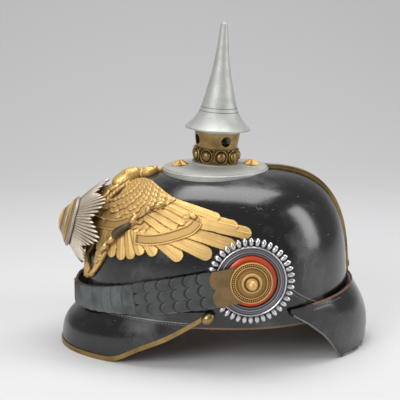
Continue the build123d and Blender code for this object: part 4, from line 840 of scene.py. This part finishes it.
# %% [markdown]
# The guard star is the piece nearest to the viewer's eye: a cone of narrow rounded rays in eight bunches,
# each bunch longest in its middle, that spread from the medallion back to the plate. Every ray is its own
# slim bar with a pointed end, because only real rays catch the light one by one.

# %% Guard star
STAR_CENTRE = Vector((-124, 0, 106.9)) * MM
STAR_LEAN = math.radians(15)
STAR_AXIS = Vector((-math.cos(STAR_LEAN), 0, math.sin(STAR_LEAN)))
STAR_SIDE = Vector((0, -1, 0))
STAR = STAR_CENTRE, STAR_AXIS, STAR_SIDE
RAY_COUNT, BUNCHES = 72, 8
RAY_FOOT, LONG_REACH, SHORT_REACH = 18.5, 45.0, 34.5
FOOT_DEPTH, TIP_DEPTH, SKULL_CLEARANCE = 1.5, 27.0, 3.6
RAY_STATIONS = ((0.0, 0.85), (0.15, 1.1), (0.5, 1.45), (0.8, 1.5), (0.93, 1.15), (1.0, 0.35))
RAY_SECTION = (-1.0, -0.75, -0.4, 0.0, 0.4, 0.75, 1.0)
START_AHEAD = 40  # millimetres in front of the star from where its rays look for the skull
CONE_CURVE, LOWER_CURVE, UPPER_LIFT = 1.1, 0.25, 4.0
RAY_FORWARD, RAY_OUTWARD, RAY_HEIGHT, RAY_BACK = 0.72, 0.69, 1.3, 0.6
LOWER_SHORTER = 0.23  # the lower rays stay clear of the raised strap


def spoke(axis, side, angle):
    """Direction at an angle round an axis, counted from its side direction."""
    return side * math.cos(angle) + axis.cross(side) * math.sin(angle)


def star_point(radius, angle, depth):
    """Radius and angle round the star's axis, depth back from the medallion's foot, in millimetres."""
    return STAR_CENTRE + (spoke(STAR_AXIS, STAR_SIDE, angle) * radius - STAR_AXIS * depth) * MM


def cone_depth(radius, angle):
    """Depth of the cone of rays at a radius, less where the skull would be nearer."""
    above, below = max(0.0, math.sin(angle)), max(0.0, -math.sin(angle))
    share = ((radius - RAY_FOOT) / (LONG_REACH - RAY_FOOT)) ** (CONE_CURVE - LOWER_CURVE * below)
    depth = FOOT_DEPTH + (TIP_DEPTH - UPPER_LIFT * above - FOOT_DEPTH) * share
    start = star_point(radius, angle, -START_AHEAD)
    hit = SKULL.ray_cast(start, -STAR_AXIS)[0]
    return depth if hit is None else min(depth, (hit - start).length / MM - START_AHEAD - SKULL_CLEARANCE)


def star_ray(angle, reach):
    points, mask = [], []
    across = spoke(STAR_AXIS, STAR_SIDE, angle + math.pi / 2)
    outward = spoke(STAR_AXIS, STAR_SIDE, angle)
    lift = (STAR_AXIS * RAY_FORWARD + outward * RAY_OUTWARD).normalized()
    for share, half in RAY_STATIONS:
        radius = RAY_FOOT + (reach - RAY_FOOT) * share
        middle = star_point(radius, angle, cone_depth(radius, angle))
        for beside in RAY_SECTION:
            rise = math.sqrt(1 - beside**2) * half * RAY_HEIGHT
            points.append(middle + (across * beside * half + lift * rise) * MM)
        points.append(middle - lift * RAY_BACK * MM)
        # Painted shade: darker towards each ray's sides, and full on the line beneath it.
        mask += [*[abs(beside) ** 3 for beside in RAY_SECTION], 1.0]
    return points, tube_faces(len(RAY_STATIONS), len(RAY_SECTION) + 1, start=True), mask


def joined(shapes):
    """One shape from several. Either all of them have a mask or none has."""
    points, faces, mask = [], [], []
    for more, its_faces, *its_mask in shapes:
        faces += [tuple(len(points) + i for i in face) for face in its_faces]
        points += more
        mask += [value for values in its_mask for value in values]
    return (points, faces, mask) if mask else (points, faces)


def star_rays():
    rays = []
    for k in range(RAY_COUNT):
        angle = 2 * math.pi * (k + 0.5) / RAY_COUNT
        beside = abs(((angle / (2 * math.pi) * BUNCHES + 0.5) % 1) - 0.5) * 2
        share = 1 - LOWER_SHORTER * max(0.0, -math.sin(angle))
        rays.append(star_ray(angle, share * (LONG_REACH - (LONG_REACH - SHORT_REACH) * beside)))
    return joined(rays)


star = add_mesh("star_rays", star_rays(), "star_silver")
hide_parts("guard_star")
print("star rays", RAY_COUNT)

# %% [markdown]
# The medallion in the star's middle is a nest of turned rings, dark silver outside and gilt inside, filled
# with rings of tiny grains. A lathe shape needs only the rings' profile, and one function then serves every
# turned piece on the helmet.

# %% Medallion
BEAD_SIDES = 10


def lathe(profile, place, axis, side, steps=72, closed=True):
    """Turned shape round an axis, from rows of radius, height and, where it has a mask, how dark it is."""
    spots = [(spoke(axis, side, angle), row) for row in profile for angle in turns(steps)]
    points = [place + (way * row[0] + axis * row[1]) * MM for way, row in spots]
    mask = [row[2] for row in profile if len(row) > 2 for _ in range(steps)]
    faces = tube_faces(len(profile), steps, end=closed)
    return (points, faces, mask) if mask else (points, faces)


def toned(shape, dark):
    """The same shape, as dark all over."""
    return *shape, [dark] * len(shape[0])


def beads(count, radius, size, height, place, axis, side):
    """A ring of small domes."""
    profile = [(size * math.cos(a), size * math.sin(a)) for a in np.radians((-10, 15, 40, 65, 86))]
    seats = [place + (spoke(axis, side, angle) * radius + axis * height) * MM for angle in turns(count)]
    return joined([lathe(profile, seat, axis, side, BEAD_SIDES) for seat in seats])


DARK_RINGS = (
    ((21.8, -1.5), (22.2, 0.2), (21.5, 1.3), (20.8, 0.9), (20.3, 1.9), (19.6, 2.3), (15.5, 2.6)),
    ((13.4, 4.0), (13.5, 6.3), (12.7, 7.0), (12.0, 6.7), (11.6, 7.8), (11.0, 8.3), (10.2, 8.2)),
)
GOLD_RINGS = (
    ((19.7, 1.6), (19.4, 2.7), (17.0, 3.9), (14.2, 5.4), (13.2, 5.7)),
    ((10.6, 7.4), (10.3, 8.6), (8.4, 9.8), (5.0, 10.8), (1.5, 11.2), (0.1, 11.2)),
)
GRAINS = (  # count, radius and height of each ring of grains
    (72, 18.6, 3.0), (66, 17.2, 3.75), (60, 15.8, 4.5), (54, 14.4, 5.25), (40, 9.4, 9.15), (33, 7.9, 9.95),
    (27, 6.4, 10.35), (20, 4.8, 10.8), (13, 3.2, 11.0), (6, 1.5, 11.15),
)
dark_rings = joined([toned(lathe(profile, *STAR), 0.55) for profile in DARK_RINGS])
medal_dark = add_mesh("medallion_rings", dark_rings, "star_silver")
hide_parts("medallion_ring")
gold = [toned(lathe(profile, *STAR), 0.95) for profile in GOLD_RINGS]
gold += [toned(beads(count, radius, 0.55, height, *STAR), 0.1) for count, radius, height in GRAINS]
medal_gold = add_mesh("medallion_gold", joined(gold), "gilt")
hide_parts("medallion_boss")
print("medallion rings", len(DARK_RINGS) + len(GOLD_RINGS), "grains", sum(row[0] for row in GRAINS))

# %% [markdown]
# The cockade is pressed from one disc: an edge of forty bright teeth, moulded rings with painted shade in
# their grooves, and a red lacquered ring with fine ribs. The rosette on top is turned brass with a ring of
# beads and a ball. All of them share one axis, so one helper places them on both sides.

# %% Cockades and rosettes
TEETH, TOOTH_SIDES, RIBS = 40, 10, 64
# Each tooth row: reach, half width, and painted shade, full at the tooth's foot under the rings.
TOOTH = (
    (27.5, 1.2, 1.0), (29.6, 1.5, 0.9), (30.8, 1.8, 0.25), (32.6, 2.15, 0.0), (34.4, 1.9, 0.0),
    (35.7, 1.1, 0.0), (36.2, 0.2, 0.1),
)
TEETH_HEIGHT, TEETH_FALL, TEETH_FOOT = 2.2, 0.09, 27
RED_RING = ((21.4, 0.7, 0), (21.0, 1.7, 0.5), (15.0, 1.7, 0.5), (14.6, 1.1, 0))
# Radius, height and painted shade, full in the grooves between the moulded rings.
RING_PROFILE = (
    (29.2, 0.2, 0.9), (29.3, 3.3, 0.3), (28.8, 4.0, 0.0), (28.2, 3.9, 0.1), (27.8, 3.0, 1.0),
    (26.9, 3.3, 0.8), (26.0, 3.3, 0.7), (25.5, 2.7, 1.0), (25.0, 3.1, 0.5), (24.4, 3.2, 0.6),
    (23.9, 2.6, 1.0), (23.0, 3.0, 0.8), (22.2, 2.9, 0.7), (21.6, 2.2, 1.0), (21.0, 1.2, 1.0),
)
# Radius, height and painted shade, full in the grooves of the rosette.
ROSETTE_PROFILE = (
    (17.0, 6.6, 0.8), (17.4, 7.5, 0.3), (17.0, 8.3, 0.0), (16.2, 8.4, 0.1), (15.9, 7.6, 1.0),
    (13.9, 7.4, 1.0), (13.5, 8.1, 0.2), (12.9, 8.3, 0.1), (12.4, 7.7, 0.9), (11.4, 7.5, 0.7),
    (9.6, 7.9, 0.5), (8.9, 8.1, 0.9), (8.7, 9.3, 0.2), (8.1, 10.3, 0.0), (7.2, 10.8, 0.0),
    (6.3, 10.6, 0.3), (5.9, 10.0, 1.0), (5.1, 10.2, 1.0), (4.7, 11.0, 0.3), (4.1, 11.5, 0.1),
    (3.2, 11.9, 0.1),
)
BALL_RADIUS, BALL_HEIGHT, BALL_ROWS = 4.3, 14.3, (42, 60, 75, 90, 105, 120, 135, 150, 163, 174, 179)


def side_frame(sign):
    """Place, axis and side direction of the cockade on one side."""
    return Vector((24, sign * 90.1, 76)) * MM, Vector((0, sign, 0)), Vector((1, 0, 0))


def teeth(place, axis, side):
    """Rounded teeth that swell towards their tips, each with painted shade at its foot."""
    shapes = []
    for angle in turns(TEETH):
        out = spoke(axis, side, angle)
        centres = [place + (out * reach + axis * (TEETH_HEIGHT - TEETH_FALL * (reach - TEETH_FOOT))) * MM
                   for reach, _, _ in TOOTH]
        mask = [dark for _, _, dark in TOOTH for _ in range(TOOTH_SIDES)]
        shapes.append((*sweep(centres, [half * MM for _, half, _ in TOOTH], TOOTH_SIDES), mask))
    return joined(shapes)


def ribbed_ring(place, axis, side):
    """The red ring, every second line of its top raised by a rib."""
    points = [place + (spoke(axis, side, angle) * radius + axis * (level + rib * (k % 2))) * MM
              for radius, level, rib in RED_RING for k, angle in enumerate(turns(2 * RIBS))]
    return points, tube_faces(len(RED_RING), 2 * RIBS, end=False)


# The rosette is darkened a little all over, and its grooves get painted shade on top of that.
rosette_profile = [(radius, height, 0.3 + 0.7 * dark) for radius, height, dark in ROSETTE_PROFILE]
ball_profile = [(BALL_RADIUS * math.sin(a), BALL_HEIGHT - BALL_RADIUS * math.cos(a), 0.15)
                for a in np.radians(BALL_ROWS)]
for word, sign in (("left", -1), ("right", 1)):
    where = side_frame(sign)
    pressed = joined([teeth(*where), lathe(RING_PROFILE, *where, 96, closed=False)])
    cockade = add_mesh(f"cockade_pressed_{word}", pressed, "cockade_silver")
    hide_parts(f"cockade_{word}")
    red = add_mesh(f"red_ring_{word}", ribbed_ring(*where), "cockade_red")
    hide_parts(f"cockade_red_{word}")
    bead_circle = toned(beads(54, 14.9, 0.62, 7.4, *where), 0.0)
    turned = joined([lathe(rosette_profile, *where, 96), lathe(ball_profile, *where, 40), bead_circle])
    rosette = add_mesh(f"rosette_turned_{word}", turned, "gilt")
    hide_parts(f"rosette_{word}")
print("cockade teeth", TEETH, "ribs", RIBS)

# %% [markdown]
# The chin scales are thin plates that overlap like slates, each with three shallow flutes that end in round
# lobes. The plates follow an ellipse round the skull. Each one is a small grid bent to its flutes, with a
# mask of painted shadow where the plate before it covers it, and painted shade on its edges.

# %% Chin scales
BAND_FRONT, BAND_SIDE, BAND_MIDDLE_X = 144.0, 95.9, 20.0
FRONT_EDGE_X, FRONT_EDGE_Z = BAND_MIDDLE_X - BAND_FRONT, 46
ROSETTE_X, ROSETTE_Z = 24, 76
PITCH, FIRST_EDGE, LAP = 11.3, 37.0, 2.5
GROUPS = ((0, 1), (2, 3, 4, 5), (6, 7, 8), (9, 10, 11, 12))
FIRST_SINGLE = 6  # from this scale on they have one lobe instead of three
THREE_LOBES, ONE_LOBE = (3, 1, 5.0, 0.42), (1, 0.92, 4.4, 0.5)  # lobes, width share, reach, flute height
PLATE_STEP, PLATE_OVERLAP, PLATE_THICKNESS, EDGE_BACK, SHADE_REACH = 1.15, 1.7, 0.7, 3.4, 2.4
COLUMNS, ROWS = 31, 14
angles = np.linspace(0, math.pi / 2, 2000)
steps_walked = np.hypot(BAND_FRONT * np.cos(angles), BAND_SIDE * np.sin(angles)) * (angles[1] - angles[0])
walked_so_far = np.cumsum(steps_walked)


def band_place(walked):
    """Middle of the band after a walk from beside the rosette towards the front."""
    angle = np.interp(walked, walked_so_far, angles)
    x, y = BAND_MIDDLE_X - BAND_FRONT * math.sin(angle), -BAND_SIDE * math.cos(angle)
    share = (x - FRONT_EDGE_X) / (ROSETTE_X - FRONT_EDGE_X)
    return Vector((x, y, FRONT_EDGE_Z + share * (ROSETTE_Z - FRONT_EDGE_Z)))


def band_half_width(x):
    return np.interp(x, (FRONT_EDGE_X, -69, ROSETTE_X), (10.3, 14.0, 15.8))


def scale_plate(index):
    """Points, faces and painted-shadow mask of one plate on the wearer's left."""
    walked = FIRST_EDGE + index * PITCH
    end, before, earlier = [band_place(walked - k * PITCH) for k in range(3)]
    along = (end - before).normalized()
    bend = along.cross((before - earlier).normalized()).length
    outward = Vector((-along.y, along.x, 0)).normalized()
    run = (along * PITCH + outward * ((PLATE_STEP + LAP * bend) if index else 0.0)).normalized()
    out = (outward - run * outward.dot(run)).normalized()
    over = out.cross(run)
    lobes, size, reach, height = THREE_LOBES if index < FIRST_SINGLE else ONE_LOBE
    width = 2 * band_half_width(band_place(walked - PITCH / 2).x) * size
    length = PITCH + PLATE_OVERLAP + (LAP if index else 0)
    points, mask = [], []
    for i in range(COLUMNS):
        share = i / (COLUMNS - 1)
        y = (share - 0.5) * width
        flute = 1 - (2 * ((share * lobes) % 1 if i < COLUMNS - 1 else 1.0) - 1) ** 2
        edge = -EDGE_BACK + reach * math.sqrt(flute)
        for share in (j / (ROWS - 1) for j in range(ROWS)):
            x = -length + (edge + length) * share
            rise = height * flute**0.5 * share**1.5 - 0.5 * max(0, share - 0.92) / 0.08
            points.append((end + run * x + over * y + out * (rise - 0.05)) * MM)
            # Painted shadow of the plate before, fading out over a short reach from its edge; the first plate
            # has none.
            mask.append(min(1, max(0, 1 - (x + PITCH - edge) / SHADE_REACH)) if index else 0)
    faces = [(i * ROWS + j, (i + 1) * ROWS + j, (i + 1) * ROWS + j + 1, i * ROWS + j + 1)
             for i in range(COLUMNS - 1) for j in range(ROWS - 1)]
    last = (COLUMNS - 1) * ROWS
    edges = [*range(ROWS), *[i * ROWS + ROWS - 1 for i in range(1, COLUMNS)],
             *range(last + ROWS - 2, last - 1, -1)]
    base = len(points)
    points += [points[k] - out * PLATE_THICKNESS * MM for k in edges]
    # Painted shade on the plate's edge.
    mask += [1.0] * len(edges)
    faces += [(edges[k + 1], edges[k], base + k, base + k + 1) for k in range(len(edges) - 1)]
    return points, [tuple(reversed(f)) for f in faces], mask


for group, members in enumerate(GROUPS, 1):
    plates = joined([scale_plate(index) for index in members])
    for word, shape in (("left", plates), ("right", mirrored(plates))):
        piece = add_mesh(f"scales_{group}_{word}", shape, "scale_dark" if group < 3 else "scale_grey",
                         f"chin_{word}_{group}")
        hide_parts(f"chin_scales_{group}_{word}")
print("chin scales", sum(len(g) for g in GROUPS) * 2)

# %% [markdown]
# The ring under the vented collar carries nine oval beads, each in its own raised frame. They are laid out
# flat, as a strip, and then wrapped round the ring, which keeps the ovals true however many there are.

# %% Beaded ring
NECK_AXIS = Vector((0.061049, 0, 0.998135))
NECK_SIDE = Vector((NECK_AXIS.z, 0, -NECK_AXIS.x))
NECK_SPOT = Vector((1, 0, 158.4)) * MM
NECK = NECK_SPOT, NECK_AXIS, NECK_SIDE
BEADS, RING_RADIUS, RING_MIDDLE, OVAL_SIDES = 9, 17.6, 6.7, 28
FIRST_BEAD = -100.5
BAND_PROFILE = (
    (18.6, 0.1), (18.8, 0.6), (18.4, 1.1), (17.8, 1.5), (17.6, 6.7), (17.8, 11.9), (18.3, 12.4),
    (18.6, 12.9), (18.4, 13.3), (17.5, 13.4),
)
# Each oval row: share of the size, how far out, and painted shade, full where a bead meets its frame.
FRAME_OVAL = ((1.0, 0.0, 0.6), (1.02, 1.2, 0.2), (0.95, 2.0, 0.0), (0.86, 1.8, 0.2), (0.8, 0.5, 1.0))
BEAD_OVAL = (
    (0.76, 0.3, 1.0), (0.75, 1.6, 0.3), (0.64, 2.7, 0.0), (0.44, 3.4, 0.0), (0.2, 3.75, 0.0),
    (0.04, 3.8, 0.0),
)
CUSP = ((1.0, 0.0, 0.3), (0.9, 1.4, 0.0), (0.5, 2.2, 0.0), (0.1, 2.5, 0.0))


def oval(layers, wide, high, turn, up=0.0, closed=True):
    """Ovals wrapped round the ring, each with its share of the size, how far out and how dark it is."""
    points = []
    for share, out, _ in layers:
        for angle in turns(OVAL_SIDES):
            way = spoke(NECK_AXIS, NECK_SIDE, turn + wide * share * math.cos(angle) / RING_RADIUS)
            rise = RING_MIDDLE + up + high * share * math.sin(angle)
            points.append(NECK_SPOT + (way * (RING_RADIUS + out) + NECK_AXIS * rise) * MM)
    mask = [dark for _, _, dark in layers for _ in range(OVAL_SIDES)]
    return points, tube_faces(len(layers), OVAL_SIDES, end=closed), mask


def beaded_ring():
    shapes = [toned(lathe(BAND_PROFILE, *NECK, 90, closed=False), 0.75)]
    for k in range(BEADS):
        turn = math.radians(FIRST_BEAD + (k + 0.5) * 360 / BEADS)
        shapes += [oval(FRAME_OVAL, 5.5, 6.3, turn, closed=False), oval(BEAD_OVAL, 5.0, 5.7, turn)]
        shapes += [oval(CUSP, 1.0, 1.1, turn + math.pi / BEADS, up) for up in (-5.6, 5.6)]
    return joined(shapes)


bead_band = add_mesh("beaded_band", beaded_ring(), "brass_trim")
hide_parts("bead_ring")
print("beads", BEADS)

# %% [markdown]
# The visors are sewn on. Real stitches are short and proud of the leather, so each is a small rounded bar
# laid on the visor's surface, found by rays as the eagle was. Thin cords make the welts beside the seams
# and the polished bead round the rear visor's edge.

# %% Seams
FRONT_VISOR, REAR_VISOR = ray_target("front_visor"), ray_target("rear_visor")
STITCH_LENGTH, STITCH_GAP, STITCH_RADIUS = 1.9, 2.9, 0.34
STITCH_SHAPE = ((-1, 0.3), (-0.8, 0.9), (0, 1.1), (0.8, 0.9), (1, 0.3))
RIM_SECTORS, REAR_VISOR_X, TABLE_CLEARANCE = 40, 40.0, 1.1
FRONT_SEAM = ((80, 298), (90, 304), (103, 311), (120, 316), (140, 320), (160, 323), (180, 325), (192, 326))


def evened(path, gap):
    """Points along a line at even gaps, in metres."""
    points = np.array(path)
    lengths = np.concatenate([[0], np.cumsum(np.linalg.norm(np.diff(points, axis=0), axis=1))])
    stops = np.arange(0, lengths[-1], gap)
    return [Vector([np.interp(stop, lengths, points[:, k]) for k in range(3)]) for stop in stops]


def stitches(path, lift):
    """A row of stitches along a line of (point, normal) pairs."""
    spots = evened(smooth_path([np.array(p + n * lift * MM) for p, n in path], 10), STITCH_GAP * MM)
    shapes = []
    for a, b in zip(spots, spots[1:]):
        run = (b - a).normalized() * STITCH_LENGTH * MM / 2
        centres = [(a + b) / 2 + run * share for share, _ in STITCH_SHAPE]
        shapes.append(sweep(centres, [r * STITCH_RADIUS * MM for _, r in STITCH_SHAPE], 6))
    return joined(shapes)


def cord(path, lift, radius, shift=0.0):
    """A thin cord along a line of (point, normal) pairs, moved up by shift."""
    spots = smooth_path([np.array(p + (n * lift + Vector((0, 0, 1)) * shift) * MM) for p, n in path], 8)
    return sweep([Vector(p) for p in spots], [radius * MM] * len(spots), 8)


def on_both_sides(made):
    return joined([made, mirrored(made)])


def rear_rim(reach, way):
    """The rear visor's upper (way 1) or lower (way -1) edge, with outward directions."""
    best = {}
    for vertex in frame["nodes"]["rear_visor"].data.vertices:
        flat = Vector((vertex.co.x - REAR_VISOR_X * MM, vertex.co.y, 0))
        sector = round((math.degrees(math.atan2(flat.y, flat.x)) + reach) / (2 * reach) * RIM_SECTORS)
        score = way * vertex.co.z + 0.3 * flat.length
        if 0 <= sector <= RIM_SECTORS and (sector not in best or score > best[sector][0]):
            best[sector] = (score, vertex.co.copy(), flat.normalized())
    return [best[k][1:] for k in sorted(best)]


def below_rim(down):
    """The rear visor's upper edge moved down and put back on its surface."""
    return [REAR_VISOR.find_nearest(point - Vector((0, 0, down)) * MM)[:2] for point, _ in upper_edge]


front_seam = seen_on(FRONT_VISOR, FRONT_SEAM)
# The mirror image takes over at the middle.
front_seam = [place for place in front_seam if place[0].y < -0.5 * MM]
add_mesh("front_stitches", on_both_sides(stitches(front_seam, 0.35)), "thread")
add_mesh("front_welt", on_both_sides(cord(front_seam, 0.0, 0.75, 1.6)), "edge_bead")
upper_edge, lower_edge = rear_rim(66.0, 1), rear_rim(78.0, -1)
lower_edge = [(Vector((*p.xy, max(p.z, TABLE_CLEARANCE * MM))), normal) for p, normal in lower_edge]
rear_seam = below_rim(3.6)
add_mesh("rear_stitches", stitches(rear_seam, 0.35), "thread")
add_mesh("rear_welt", cord(below_rim(5.0), 0.0, 0.6), "edge_bead")
add_mesh("rear_worn_edge", cord(upper_edge, 0.0, 0.9), "worn_edge")
add_mesh("rear_edge_bead", cord(lower_edge, 0.2, 0.9), "edge_bead")
print("seams", len(front_seam), len(rear_seam), "rims", len(upper_edge), len(lower_edge))

# %% [markdown]
# Old lacquer shows its age: a fine crack runs up from the rear visor, and there is a nick higher up. Each
# is a hair-thin cord sunk into the leather, so it catches the light as a raised lip would. A welt and a row
# of stitches close the skull where the rear visor meets it.

# %% Welt, crack and nicks on the skull
WELT = ((291, 289), (298, 293.5), (306, 298), (314, 301), (318, 302))
UNDER_WELT = ((291, 293), (298, 297.5), (306, 301.5))
CRACK = (
    (305.5, 262), (304, 266), (306, 270), (304, 274), (305.2, 277), (302.5, 281), (303.6, 285), (302, 289),
)
NICK = ((256, 207), (258.5, 209.5), (260.5, 208), (263, 210))
add_mesh("skull_welt", on_both_sides(cord(seen_on(SKULL, WELT), 0.0, 0.6)), "edge_bead")
add_mesh("skull_stitches", on_both_sides(stitches(seen_on(SKULL, UNDER_WELT), 0.2)), "thread")
marks = joined([cord(seen_on(SKULL, CRACK), -0.1, 0.2), cord(seen_on(SKULL, NICK), -0.1, 0.22)])
add_mesh("skull_marks", marks, "thread")
print("marks", len(marks[0]))

# %% [markdown]
# The spike was spun on a lathe, which left a pair of lines round its lower part. Their height was read off
# the picture, and each is shown by a narrow turned band in a dark colour: painted shade for the groove.

# %% Incised lines on the spike
SPIKE = ray_target("spike")
SPIKE_X, LINE_ROWS, LINE_HALF = 226, (109.5, 113.5), 0.22
lines = []
for hit, _ in seen_on(SPIKE, [(SPIKE_X, py) for py in LINE_ROWS]):
    height = (hit - NECK_SPOT).dot(NECK_AXIS)
    radius = (hit - NECK_SPOT - NECK_AXIS * height).length / MM
    low, high = height / MM - LINE_HALF, height / MM + LINE_HALF
    profile = (radius + 0.1, low), (radius + 0.08, high), (radius - 0.5, high)
    lines.append(lathe(profile, *NECK, 96, closed=False))
add_mesh("spike_lines", joined(lines), "incised", "spike_body")
print("spike lines", len(lines))
